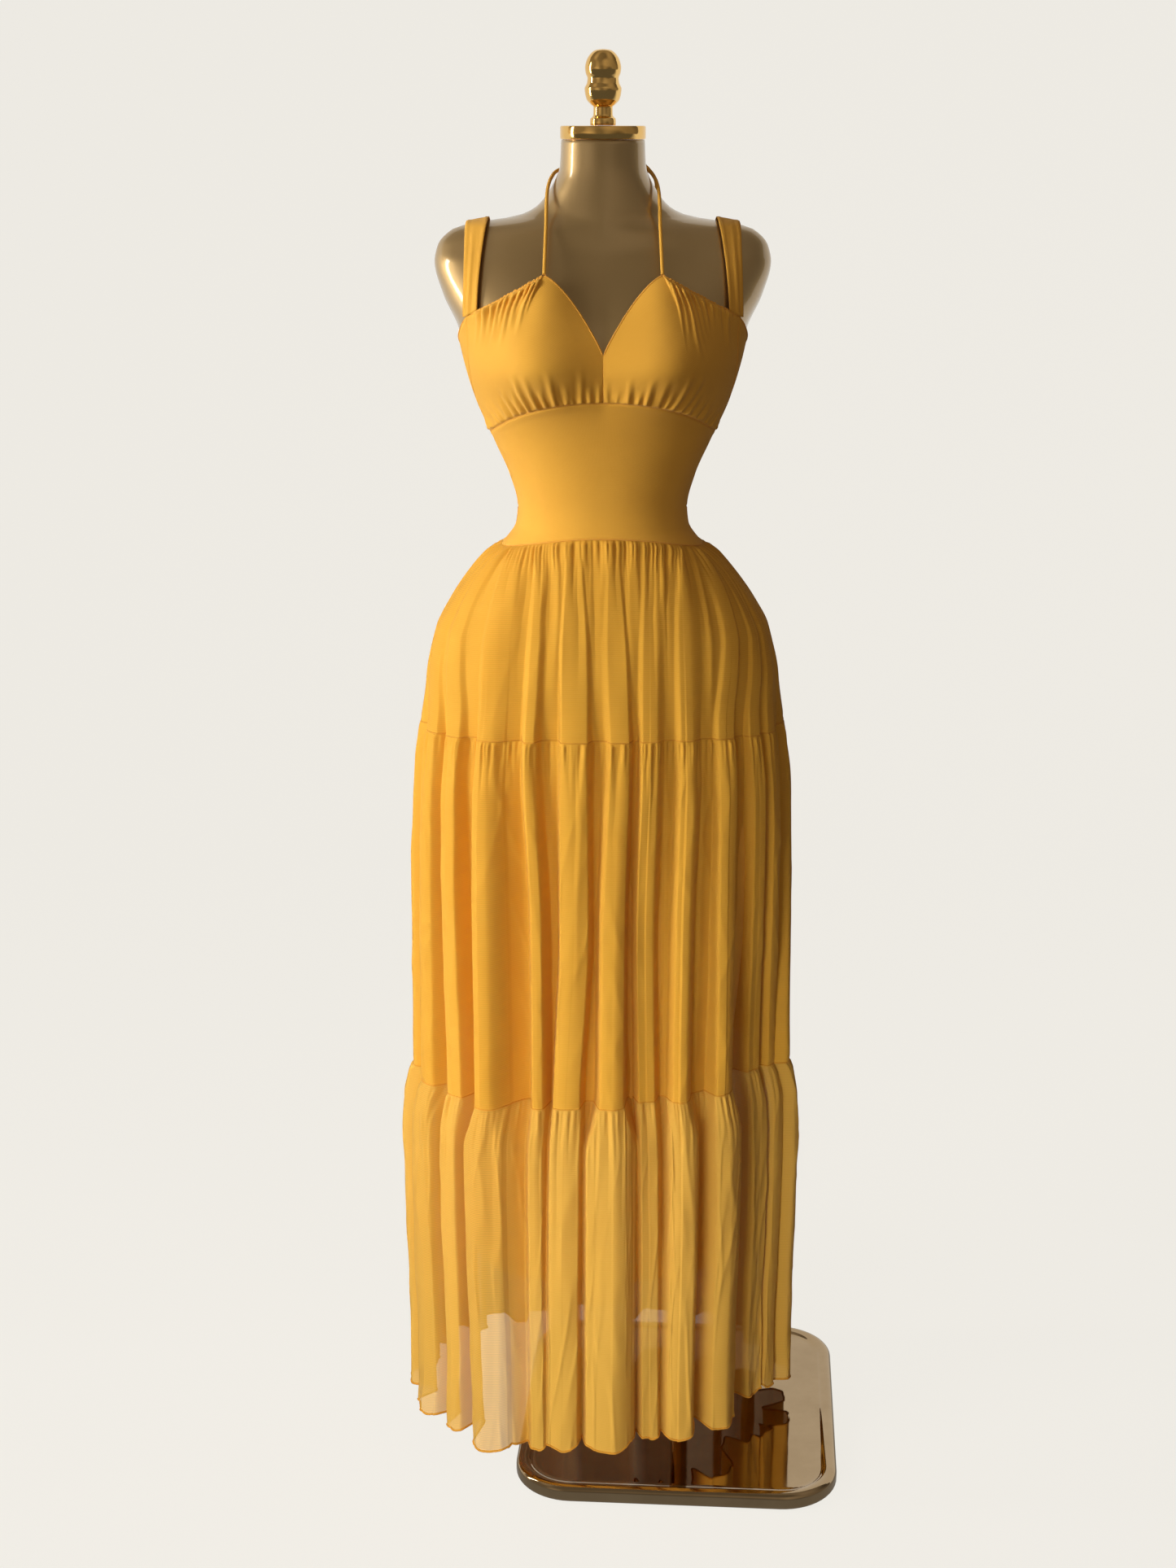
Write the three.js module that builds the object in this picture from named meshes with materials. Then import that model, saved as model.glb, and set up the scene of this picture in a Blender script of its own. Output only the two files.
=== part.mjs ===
// A tiered halter dress on a limbless dress form with a pole and a base plate.
// Millimetres, +Z up, -Y to the front, +X to the right as seen from the front.
// The origin is on the floor under the neck. Angles are in degrees round the figure:
// 0 at centre front, 90 at the right side seam, 180 at centre back, -90 at the left side seam.

import * as THREE from "three";

// Driving dimensions of the cloth
const CLOTH = 1.5;
const LINING_CLOTH = 1.0;
const SEAM_GAP = 0.3;
const BODICE_EASE = 2.2;
const HEM_HEIGHT = 50;
const HEM_LIFT = 5;
const LINING_HEM = 245;
const GATHER_LENGTH = 80;
const GATHER_START = 9;

// Driving dimensions of the bodice
const NECKLINE_LOW = 1355;
const CUP_TIP = { x: 64, z: 1440 };
const CUP_CORNER = { x: 145, z: 1395, angle: 58 };
const CUP_COLUMNS = 24;
const NECKLINE_SHARE = 11 / CUP_COLUMNS;
const NECKLINE_BEND = 1.45;
const BODICE_SEAM_ANGLE = 88;
const BACK_TOP = 1325;
const CUP_GATHER = 1.3;
const CUP_PUCKER = 0.8;
const TIP_STANDOFF = 20;
const STRAP_WIDTH = 25;
const STRAP_CLOTH = 1.6;
const STRAP_FRONT_X = 139;
const STRAP_BACK_X = 120;
const STRAP_FOOT_INSET = 3.5;
const STRAP_FOOT_GAP = 1.2;
const STRAP_EASE = 2.2;
const TIE_DIAMETER = 4;

// Driving dimensions of the form and its stand
const FORM_BOTTOM = 720;
const BUST = { x: 78, z: 1345, height: 36, across: 44, above: 50, below: 30 };
const POLE_X = 101;
const POLE_DIAMETER = 22;
const SOCKET = { diameter: 46, height: 14 };
const FLANGE = { diameter: 60, height: 5 };
const BASE = { width: 392, depth: 420, corner: 70, top: 19, turn: -4, forward: 10 };

// Sections of the dress form, from the neck down
const FIGURE = [
  { z: 1581.5, half: 46.5, front: 46, back: 46, power: 2.0 },
  { z: 1553, half: 48, front: 48, back: 50, power: 2.0 },
  { z: 1532, half: 57, front: 52, back: 58, power: 2.0 },
  { z: 1511, half: 73, front: 57, back: 64, power: 1.8 },
  { z: 1500, half: 95, front: 60, back: 66, power: 1.5 },
  { z: 1493, half: 140, front: 62, back: 67, power: 1.35 },
  { z: 1486, half: 167, front: 64, back: 68, power: 1.45 },
  { z: 1468, half: 185, front: 68, back: 71, power: 1.7 },
  { z: 1450, half: 189, front: 75, back: 75, power: 2.0 },
  { z: 1415, half: 180, front: 90, back: 82, power: 2.2 },
  { z: 1378, half: 163, front: 104, back: 88, power: 2.3 },
  { z: 1342, half: 154, front: 110, back: 90, power: 2.3 },
  { z: 1305, half: 143, front: 104, back: 86, power: 2.3 },
  { z: 1250, half: 119, front: 89, back: 78, power: 2.25 },
  { z: 1213, half: 103, front: 81, back: 75, power: 2.2 },
  { z: 1175, half: 93.5, front: 76, back: 75, power: 2.2 },
  { z: 1156, half: 95.5, front: 78, back: 80, power: 2.2 },
  { z: 1137, half: 107, front: 84, back: 92, power: 2.2 },
  { z: 1118, half: 127, front: 92, back: 105, power: 2.2 },
  { z: 1089, half: 152, front: 104, back: 122, power: 2.25 },
  { z: 1060, half: 171.5, front: 114, back: 136, power: 2.3 },
  { z: 1031, half: 186.5, front: 122, back: 146, power: 2.35 },
  { z: 973, half: 198, front: 130, back: 150, power: 2.35 },
  { z: 913, half: 199, front: 130, back: 142, power: 2.35 },
  { z: 820, half: 192, front: 122, back: 126, power: 2.35 },
  { z: 732, half: 179, front: 112, back: 110, power: 2.35 },
  { z: 723, half: 172, front: 105, back: 103, power: 2.3 },
  { z: FORM_BOTTOM, half: 160, front: 93, back: 91, power: 2.25 },
];
const HIP_BREAK = 913;

// Inner face of the skirt: how far it stands off the form over the hips, then its own sections
const SKIRT_EASE = [
  { z: 1150, ease: 2.2 },
  { z: 1132, ease: 2.6 },
  { z: 1118, ease: 4.6 },
  { z: 1060, ease: 5.6 },
  { z: 973, ease: 7 },
  { z: HIP_BREAK, ease: 13 },
];
const SKIRT_HANG = [
  { z: HIP_BREAK, half: 212, front: 143, back: 155, power: 2.35 },
  { z: 853, half: 218.5, front: 146, back: 161, power: 2.35 },
  { z: 731, half: 222.5, front: 148, back: 165, power: 2.35 },
  { z: 487, half: 224.5, front: 149, back: 169, power: 2.35 },
  { z: 440, half: 232.5, front: 155, back: 173, power: 2.35 },
  { z: 300, half: 236.5, front: 160, back: 176, power: 2.35 },
  { z: 150, half: 233.5, front: 164, back: 177, power: 2.35 },
  { z: 40, half: 234.5, front: 167, back: 178, power: 2.35 },
];

// Inner face of the lining
const LINING_EASE = [
  { z: 1150, ease: 0.6 },
  { z: HIP_BREAK, ease: 1.0 },
];
const LINING_HANG = [
  { z: HIP_BREAK, half: 200, front: 131, back: 143, power: 2.35 },
  { z: 820, half: 194, front: 128, back: 135, power: 2.35 },
  { z: 700, half: 181, front: 125, back: 123, power: 2.35 },
  { z: 487, half: 158, front: 118, back: 106, power: 2.35 },
  { z: 240, half: 155, front: 115, back: 91, power: 2.35 },
];

// Skirt folds, round from the left side seam: where each crest lies at the waist, at the two tier
// seams and at the hem, how far the crest and the hollow after it stand out from the section at the
// hem, and how far the crest is set back
const FOLDS = [
  { waist: -90, upper: -90, lower: -90, hem: -90, crest: 0, hollow: -12, setback: 0 },
  { waist: -80, upper: -63, lower: -65.5, hem: -63, crest: 2, hollow: -16, setback: 8 },
  { waist: -70, upper: -50.5, lower: -47.6, hem: -47, crest: 2, hollow: -18, setback: 2 },
  { waist: -58, upper: -37, lower: -37, hem: -34.5, crest: 16, hollow: -15, setback: -4 },
  { waist: -37, upper: -20.7, lower: -22.2, hem: -19.1, crest: 6, hollow: -16, setback: 0 },
  { waist: -16, upper: -8.3, lower: -9.1, hem: -11.5, crest: 4, hollow: -12, setback: 0 },
  { waist: 6, upper: 3.7, lower: 2, hem: 1.7, crest: 5, hollow: -18, setback: 0 },
  { waist: 28, upper: 13.4, lower: 11.9, hem: 15.3, crest: -2, hollow: -18, setback: 0 },
  { waist: 50, upper: 27.7, lower: 24.6, hem: 22.3, crest: -12, hollow: -42, setback: 0 },
  { waist: 62, upper: 40.3, lower: 40.1, hem: 42.3, crest: -10, hollow: -26, setback: 10 },
  { waist: 72, upper: 53.6, lower: 53, hem: 52.3, crest: 0, hollow: -10, setback: 74 },
  { waist: 81, upper: 65.7, lower: 65.5, hem: 62.3, crest: 0, hollow: -10, setback: 64 },
  { waist: 90, upper: 90, lower: 90, hem: 90, crest: 0, hollow: -12, setback: 8 },
  { waist: 104, upper: 107, lower: 109, hem: 107, crest: 5, hollow: -15, setback: 0 },
  { waist: 118, upper: 124, lower: 127, hem: 128, crest: 2, hollow: -18, setback: 0 },
  { waist: 135, upper: 141, lower: 146, hem: 144, crest: 8, hollow: -14, setback: 0 },
  { waist: 152, upper: 160, lower: 161, hem: 163, crest: 3, hollow: -20, setback: 0 },
  { waist: 171, upper: 178, lower: 177, hem: 180, crest: 7, hollow: -15, setback: 0 },
  { waist: 193, upper: 196, lower: 197, hem: 195, crest: 2, hollow: -18, setback: 0 },
  { waist: 212, upper: 214, lower: 213, hem: 214, crest: 6, hollow: -13, setback: 0 },
  { waist: 229, upper: 231, lower: 233, hem: 231, crest: 3, hollow: -17, setback: 0 },
  { waist: 247, upper: 251, lower: 249, hem: 251, crest: 5, hollow: -12, setback: 0 },
  { waist: 270, upper: 270, lower: 270, hem: 270, crest: 0, hollow: 0, setback: 0 },
];
const RIGHT_SEAM_FOLD = 12;
const COLUMNS_PER_FOLD = 4;

// How the folds grow from the waist to the hem: share of the depth, share of the setback,
// and the rise of the creases that stand on the hips
const FOLD_GROWTH = [
  { z: 1150, depth: 0, setback: 0, rise: 0 },
  { z: 1118, depth: 0, setback: 0, rise: 1.4 },
  { z: 1080, depth: 0.02, setback: 0, rise: 2.6 },
  { z: 973, depth: 0.1, setback: 0, rise: 2.2 },
  { z: 913, depth: 0.2, setback: 0, rise: 1 },
  { z: 730, depth: 0.45, setback: 0.4, rise: 0 },
  { z: 487, depth: 0.75, setback: 0.95, rise: 0 },
  { z: 40, depth: 1, setback: 1, rise: 0 },
];

// Skirt tiers: depths below each tier's top at which the wall has a row, and the gathers' height
const TIER_ROWS = {
  1: [0, 9, 26, 52, 92, 145, 212],
  2: [0, 9, 34, 110, 435],
  3: [0, 9, 36, 110, 250, 435],
};
const TIER_GATHER = { 1: 1.8, 2: 2.4, 3: 3.0 };

// Turned profiles round the neck axis: radius and height
const CAP_PROFILE = [
  { r: 0, z: 1581.8 },
  { r: 46.3, z: 1581.8 },
  { r: 47.5, z: 1583 },
  { r: 47.5, z: 1595.4 },
  { r: 46.3, z: 1596.6 },
  { r: 0, z: 1596.6 },
];
const FINIAL_PROFILE = [
  { r: 0, z: 1596.9 },
  { r: 14, z: 1596.9 },
  { r: 14.4, z: 1600 },
  { r: 14, z: 1604.5 },
  { r: 10.6, z: 1606 },
  { r: 10.6, z: 1616 },
  { r: 13.5, z: 1619 },
  { r: 18, z: 1624 },
  { r: 20, z: 1631 },
  { r: 20.5, z: 1636 },
  { r: 17.8, z: 1642 },
  { r: 17.3, z: 1647 },
  { r: 19.2, z: 1652 },
  { r: 20, z: 1658 },
  { r: 18.6, z: 1665 },
  { r: 15, z: 1671.5 },
  { r: 8.5, z: 1676.6 },
  { r: 0, z: 1678 },
];

// Edge of the base plate, from its underside up and over the rolled rim
const BASE_EDGE = [
  { inset: 9, z: 0 },
  { inset: 3, z: 2 },
  { inset: 0, z: 7 },
  { inset: 0, z: 15 },
  { inset: 2.5, z: 20 },
  { inset: 8, z: 22 },
  { inset: 14, z: 21 },
  { inset: 18, z: BASE.top },
];

// Routes of the right-hand tie and of the two free ends behind the neck
const TIE_ROUTE = [
  [64, -104.5, 1441.5],
  [63.6, -92.5, 1456],
  [63, -77, 1474],
  [62.4, -61, 1493],
  [62.2, -44, 1512],
  [61.6, -26, 1526],
  [59.6, -8, 1536],
  [56.8, 8, 1542],
  [52.5, 23, 1547],
  [44.5, 37, 1550],
  [33, 47.5, 1552],
  [20.5, 54.6, 1553],
  [9.2, 57.4, 1553],
];
const RIGHT_TAIL_ROUTE = [
  [5, 61.6, 1557.5],
  [14, 65, 1563],
  [28, 66, 1563],
  [42, 62, 1557],
  [53, 56, 1548],
  [60, 53, 1537],
  [60.5, 55, 1526],
  [56, 61, 1515],
  [51, 69, 1503],
  [48, 76, 1487],
  [46.5, 80, 1470],
  [45.5, 83, 1452],
];
const LEFT_TAIL_ROUTE = [
  [-3, 62, 1548.5],
  [-5, 67, 1538],
  [-7.5, 72, 1524],
  [-9.5, 76, 1508],
  [-10.5, 79, 1490],
  [-11, 82, 1470],
  [-11.5, 85, 1448],
];
const KNOT = { x: 0, y: 58, z: 1553, wide: 8.6, deep: 4.6, tall: 6 };

const radians = (degrees) => (degrees * Math.PI) / 180;
const mix = (a, b, share) => a + (b - a) * share;
const clamp = (value, low, high) => Math.min(high, Math.max(low, value));
const smooth = (share) => {
  const s = clamp(share, 0, 1);
  return s * s * (3 - 2 * s);
};
const signedPower = (value, power) => Math.sign(value) * Math.abs(value) ** power;

// Smooth value of one column of a table at height z, with no overshoot between its rows
function columnAt(rows, z, key) {
  const last = rows.length - 1;
  if (z >= rows[0].z) return rows[0][key];
  if (z <= rows[last].z) return rows[last][key];
  const slope = (i) => (rows[i + 1][key] - rows[i][key]) / (rows[i + 1].z - rows[i].z);
  const tangent = (i) => {
    if (i === 0) return slope(0);
    if (i === last) return slope(last - 1);
    const before = slope(i - 1);
    const after = slope(i);
    return before * after <= 0 ? 0 : (2 * before * after) / (before + after);
  };
  const i = rows.findIndex((row, n) => n < last && z <= row.z && z >= rows[n + 1].z);
  const span = rows[i + 1].z - rows[i].z;
  const t = (z - rows[i].z) / span;
  const t2 = t * t;
  const t3 = t2 * t;
  return (2 * t3 - 3 * t2 + 1) * rows[i][key] + (t3 - 2 * t2 + t) * span * tangent(i)
    + (3 * t2 - 2 * t3) * rows[i + 1][key] + (t3 - t2) * span * tangent(i + 1);
}

function sectionAt(rows, z, ease = 0) {
  return {
    half: columnAt(rows, z, "half") + ease,
    front: columnAt(rows, z, "front") + ease,
    back: columnAt(rows, z, "back") + ease,
    power: columnAt(rows, z, "power"),
  };
}

function sectionPoint(section, angle, z) {
  const sine = Math.sin(radians(angle));
  const cosine = Math.cos(radians(angle));
  const x = section.half * signedPower(sine, 2 / section.power);
  const depth = cosine > 0 ? section.front : section.back;
  return new THREE.Vector3(x, -depth * signedPower(cosine, 2 / section.power), z);
}

// The form's own surface: its section with a soft general bust
function figurePoint(angle, z) {
  const point = sectionPoint(sectionAt(FIGURE, z), angle, z);
  const facing = smooth(Math.cos(radians(angle)) * 3);
  const across = (Math.abs(point.x) - BUST.x) / BUST.across;
  const along = (z - BUST.z) / (z > BUST.z ? BUST.above : BUST.below);
  point.y -= BUST.height * facing * Math.exp(-(across * across + along * along) / 2);
  return point;
}

// A layer that lies over the hips on the form and hangs below them from its own sections
function layerPoint(easeRows, hangRows, angle, z) {
  if (z < HIP_BREAK) return sectionPoint(sectionAt(hangRows, z), angle, z);
  return sectionPoint(sectionAt(FIGURE, z, columnAt(easeRows, z, "ease")), angle, z);
}
const skirtPoint = (angle, z) => layerPoint(SKIRT_EASE, SKIRT_HANG, angle, z);
const liningPoint = (angle, z) => layerPoint(LINING_EASE, LINING_HANG, angle, z);

// Outward direction of a surface given by angle and height
function normalAt(surface, angle, z) {
  const round = surface(angle + 1.5, z).sub(surface(angle - 1.5, z));
  const up = surface(angle, z + 1).sub(surface(angle, z - 1));
  return round.cross(up).normalize();
}

// A point moved level and outward so that it lies the given distance off the surface
function levelOffset(surface, angle, z, distance) {
  const normal = normalAt(surface, angle, z);
  const level = Math.max(Math.hypot(normal.x, normal.y), 0.5);
  const point = surface(angle, z);
  point.x += (normal.x / level) * (distance / level);
  point.y += (normal.y / level) * (distance / level);
  return point;
}

// Seam heights round the figure
const facingFront = (angle) => Math.max(0, Math.cos(radians(angle))) ** 2;
const waistHeight = (angle) => 1132 + 17 * facingFront(angle);
const underbustHeight = (angle) => 1262 + 42 * facingFront(angle);
const upperSeamHeight = (angle) => 920 + 8 * facingFront(angle);
const lowerSeamHeight = (angle) => 485 + 3 * facingFront(angle);

// A closed wall between an outer and an inner grid of points, rows from the top down
function wall(outer, inner) {
  const rows = outer.length;
  const columns = outer[0].length;
  const positions = [...outer.flat(), ...inner.flat()].flatMap((p) => [p.x, p.y, p.z]);
  const out = (r, c) => r * columns + c;
  const inn = (r, c) => rows * columns + r * columns + c;
  const index = [];
  const quad = (a, b, c, d) => index.push(a, b, c, a, c, d);
  for (let r = 0; r < rows - 1; r += 1) {
    for (let c = 0; c < columns - 1; c += 1) {
      quad(out(r, c), out(r + 1, c), out(r + 1, c + 1), out(r, c + 1));
      quad(inn(r, c), inn(r, c + 1), inn(r + 1, c + 1), inn(r + 1, c));
    }
    quad(out(r + 1, 0), out(r, 0), inn(r, 0), inn(r + 1, 0));
    quad(out(r, columns - 1), out(r + 1, columns - 1), inn(r + 1, columns - 1), inn(r, columns - 1));
  }
  for (let c = 0; c < columns - 1; c += 1) {
    quad(out(0, c), out(0, c + 1), inn(0, c + 1), inn(0, c));
    quad(out(rows - 1, c + 1), out(rows - 1, c), inn(rows - 1, c), inn(rows - 1, c + 1));
  }
  const geometry = new THREE.BufferGeometry();
  geometry.setAttribute("position", new THREE.Float32BufferAttribute(positions, 3));
  geometry.setIndex(index);
  geometry.computeVertexNormals();
  return geometry;
}

// A closed solid through rings of points, from the top ring down, with flat ends
function loft(rings) {
  const count = rings[0].length;
  const centre = (ring) => ring.reduce((sum, p) => sum.add(p), new THREE.Vector3()).divideScalar(count);
  const ends = [centre(rings[0]), centre(rings[rings.length - 1])];
  const positions = [...rings.flat(), ...ends].flatMap((p) => [p.x, p.y, p.z]);
  const at = (r, c) => r * count + (c % count);
  const topCentre = rings.length * count;
  const index = [];
  for (let c = 0; c < count; c += 1) {
    for (let r = 0; r < rings.length - 1; r += 1) {
      index.push(at(r, c), at(r + 1, c), at(r + 1, c + 1), at(r, c), at(r + 1, c + 1), at(r, c + 1));
    }
    index.push(topCentre, at(0, c), at(0, c + 1));
    index.push(topCentre + 1, at(rings.length - 1, c + 1), at(rings.length - 1, c));
  }
  const geometry = new THREE.BufferGeometry();
  geometry.setAttribute("position", new THREE.Float32BufferAttribute(positions, 3));
  geometry.setIndex(index);
  geometry.computeVertexNormals();
  return geometry;
}

function lathe(profile, sides) {
  const points = profile.map((p) => new THREE.Vector2(p.r, p.z));
  return new THREE.LatheGeometry(points, sides).rotateX(Math.PI / 2);
}

function tube(route, diameter) {
  const path = new THREE.CatmullRomCurve3(route.map((p) => new THREE.Vector3(...p)));
  const section = new THREE.Shape();
  const sides = 8;
  for (let i = 0; i < sides; i += 1) {
    const turn = (i / sides) * Math.PI * 2;
    const x = (diameter / 2) * Math.cos(turn);
    const y = (diameter / 2) * Math.sin(turn);
    if (i === 0) section.moveTo(x, y);
    else section.lineTo(x, y);
  }
  section.closePath();
  const steps = Math.round(path.getLength() / (diameter * 2.8));
  return new THREE.ExtrudeGeometry(section, { steps, bevelEnabled: false, extrudePath: path });
}

// Dress form
const FORM_COLUMNS = 32;
const FORM_STEPS = [
  { above: 1213, step: 47 },
  { above: 1118, step: 10 },
  { above: 0, step: 100 },
];
const roundAngles = Array.from({ length: FORM_COLUMNS }, (_, i) => -180 + (360 / FORM_COLUMNS) * i);

function formRows() {
  const heights = [];
  for (let i = 0; i < FIGURE.length - 1; i += 1) {
    const top = FIGURE[i].z;
    const drop = top - FIGURE[i + 1].z;
    const step = FORM_STEPS.find((row) => top > row.above).step;
    const count = Math.ceil(drop / step);
    for (let n = 0; n < count; n += 1) heights.push(top - (drop * n) / count);
  }
  return [...heights, FORM_BOTTOM];
}

function formTorso() {
  return loft(formRows().map((z) => roundAngles.map((angle) => figurePoint(angle, z))));
}

// Bodice panels
function cupTopPoint(share) {
  if (share <= NECKLINE_SHARE) {
    const along = share / NECKLINE_SHARE;
    const rise = 1 - (1 - along) ** NECKLINE_BEND;
    return { x: CUP_TIP.x * along, z: mix(NECKLINE_LOW, CUP_TIP.z, rise) };
  }
  const along = (share - NECKLINE_SHARE) / (1 - NECKLINE_SHARE);
  return { x: mix(CUP_TIP.x, CUP_CORNER.x, along), z: mix(CUP_TIP.z, CUP_CORNER.z, along) };
}

function angleAt(x, z) {
  const section = sectionAt(FIGURE, z);
  const share = clamp(Math.abs(x) / section.half, 0, 1);
  return (Math.asin(share ** (section.power / 2)) * 180) / Math.PI;
}

// How far the cup stands off the chest at its tip, where the tie draws it up to the neck
function tipStandoff(x, z) {
  const across = (Math.abs(x) - CUP_TIP.x) / 38;
  return TIP_STANDOFF * smooth((z - 1365) / 75) * Math.exp(-across * across);
}

function cup(side) {
  const columns = CUP_COLUMNS;
  const rows = 6;
  const gapAngle = 0.3;
  const grid = (distance) => {
    const points = [];
    for (let r = 0; r <= rows; r += 1) {
      const row = [];
      for (let c = 0; c <= columns; c += 1) {
        const share = c / columns;
        const top = cupTopPoint(share);
        const topAngle = share === 1 ? CUP_CORNER.angle - gapAngle : angleAt(top.x, top.z);
        const lowAngle = mix(0, BODICE_SEAM_ANGLE - gapAngle, share);
        const up = 1 - r / rows;
        const angle = mix(lowAngle, topAngle, up);
        const z = mix(underbustHeight(lowAngle) + SEAM_GAP, top.z, up);
        const fold = c % 2;
        const gather = CUP_GATHER * fold * smooth(up * 5) * (1 - smooth(up * 2));
        const pucker = CUP_PUCKER * fold * smooth((up - 0.65) * 4) * (share > NECKLINE_SHARE ? 1 : 0);
        const point = levelOffset(figurePoint, angle, z, distance + gather + pucker);
        point.y -= tipStandoff(point.x, z);
        point.x = Math.max(point.x, SEAM_GAP / 2);
        point.x *= side;
        row.push(point);
      }
      points.push(side > 0 ? row : row.reverse());
    }
    return points;
  };
  return wall(grid(BODICE_EASE + CLOTH), grid(BODICE_EASE));
}

function midriffFront() {
  const columns = 20;
  const rows = 7;
  const grid = (distance) => Array.from({ length: rows + 1 }, (_, r) =>
    Array.from({ length: columns + 1 }, (_, c) => {
      const angle = mix(-1, 1, c / columns) * (BODICE_SEAM_ANGLE - 0.1);
      const z = mix(underbustHeight(angle), waistHeight(angle), r / rows);
      return levelOffset(figurePoint, angle, z, distance);
    }));
  return wall(grid(BODICE_EASE + CLOTH), grid(BODICE_EASE));
}

// Front edge of the back panel: the side seam, then forward along the cup to its top corner
const backEdgeAngle = (z) =>
  mix(BODICE_SEAM_ANGLE, CUP_CORNER.angle, clamp((z - underbustHeight(90)) / (CUP_CORNER.z - 1262), 0, 1));

function backTopHeight(angle) {
  const away = Math.abs(180 - angle) / (180 - CUP_CORNER.angle);
  return BACK_TOP + (CUP_CORNER.z - BACK_TOP) * away ** 2.2;
}

function backAngle(share, z) {
  const edge = backEdgeAngle(z) + 0.18;
  return mix(edge, 360 - edge, share);
}

// Height of the back panel's top edge at a share of its width, where edge and angle agree
function backTopAt(share) {
  let z = BACK_TOP;
  for (let i = 0; i < 12; i += 1) z = backTopHeight(backAngle(share, z));
  return z;
}

function bodiceBack() {
  const columns = 22;
  const upperRows = 7;
  const lowerRows = 5;
  const bend = underbustHeight(90) + SEAM_GAP;
  const grid = (distance) => Array.from({ length: upperRows + lowerRows + 1 }, (_, r) =>
    Array.from({ length: columns + 1 }, (_, c) => {
      const share = c / columns;
      const upper = mix(backTopAt(share), bend, r / upperRows);
      const lower = mix(bend, waistHeight(180), (r - upperRows) / lowerRows);
      const z = r <= upperRows ? upper : lower;
      return levelOffset(figurePoint, backAngle(share, z), z, distance);
    }));
  return wall(grid(BODICE_EASE + CLOTH), grid(BODICE_EASE));
}

// Height of the shoulder's top at a distance from the neck axis
function shoulderHeight(x) {
  let low = 1450;
  let high = 1511;
  for (let i = 0; i < 30; i += 1) {
    const middle = (low + high) / 2;
    if (columnAt(FIGURE, middle, "half") > x) low = middle;
    else high = middle;
  }
  return low;
}

function strapPoint(x, share, distance) {
  const top = shoulderHeight(x);
  const toBack = share > 0.5;
  const climb = Math.sin(radians(180 * (toBack ? 1 - share : share)));
  const footX = toBack ? x - (STRAP_FRONT_X - STRAP_BACK_X) * (1 - climb) : x;
  const along = clamp((x - STRAP_FOOT_INSET - CUP_TIP.x) / (CUP_CORNER.x - CUP_TIP.x), 0, 1);
  const frontFoot = mix(CUP_TIP.z, CUP_CORNER.z, along);
  const backFoot = backTopHeight(180 - angleAt(footX, BACK_TOP + 10));
  const foot = (toBack ? backFoot : frontFoot) + STRAP_FOOT_GAP;
  const z = mix(foot, top, climb);
  const angle = angleAt(footX, z);
  const atTop = climb > 0.999;
  const figureAngle = atTop ? 90 : toBack ? 180 - angle : angle;
  const point = figurePoint(figureAngle, z);
  const normal = normalAt(figurePoint, clamp(figureAngle, 4, 176), z);
  return point.addScaledVector(normal, STRAP_EASE + distance);
}

function shoulderStrap(side) {
  const across = 3;
  const along = 18;
  const grid = (distance) => Array.from({ length: along + 1 }, (_, r) => {
    const row = Array.from({ length: across + 1 }, (_, c) => {
      const x = STRAP_FRONT_X + STRAP_WIDTH * (c / across - 0.5);
      const point = strapPoint(x, r / along, distance);
      point.x *= side;
      return point;
    });
    return side > 0 ? row.reverse() : row;
  });
  return wall(grid(STRAP_CLOTH), grid(0));
}

// Skirt tiers
function foldAngle(fold, z) {
  const rows = [
    { z: waistHeight(fold.waist), angle: fold.waist },
    { z: 920, angle: fold.upper },
    { z: 485, angle: fold.lower },
    { z: HEM_HEIGHT, angle: fold.hem },
  ];
  return columnAt(rows, z, "angle");
}

// One point of the folded skirt's inner face, and the level direction its thickness takes
function foldedPoint(foldNumber, share, z, gather) {
  const fold = FOLDS[foldNumber];
  const next = FOLDS[Math.min(foldNumber + 1, FOLDS.length - 1)];
  const angle = mix(foldAngle(fold, z), foldAngle(next, z), share);
  const hollowness = Math.sin(Math.PI * share) ** 4;
  const crest = mix(fold.crest, next.crest, smooth(share));
  const depth = mix(crest, fold.hollow, hollowness) * columnAt(FOLD_GROWTH, z, "depth");
  const rise = (1 - hollowness) * columnAt(FOLD_GROWTH, z, "rise");
  const setback = mix(fold.setback, next.setback, smooth(share)) * columnAt(FOLD_GROWTH, z, "setback");
  const normal = normalAt(skirtPoint, angle, z).setZ(0).normalize();
  const point = skirtPoint(angle, z).addScaledVector(normal, depth + rise + gather);
  point.y += setback;
  return { point, normal, angle };
}

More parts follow.
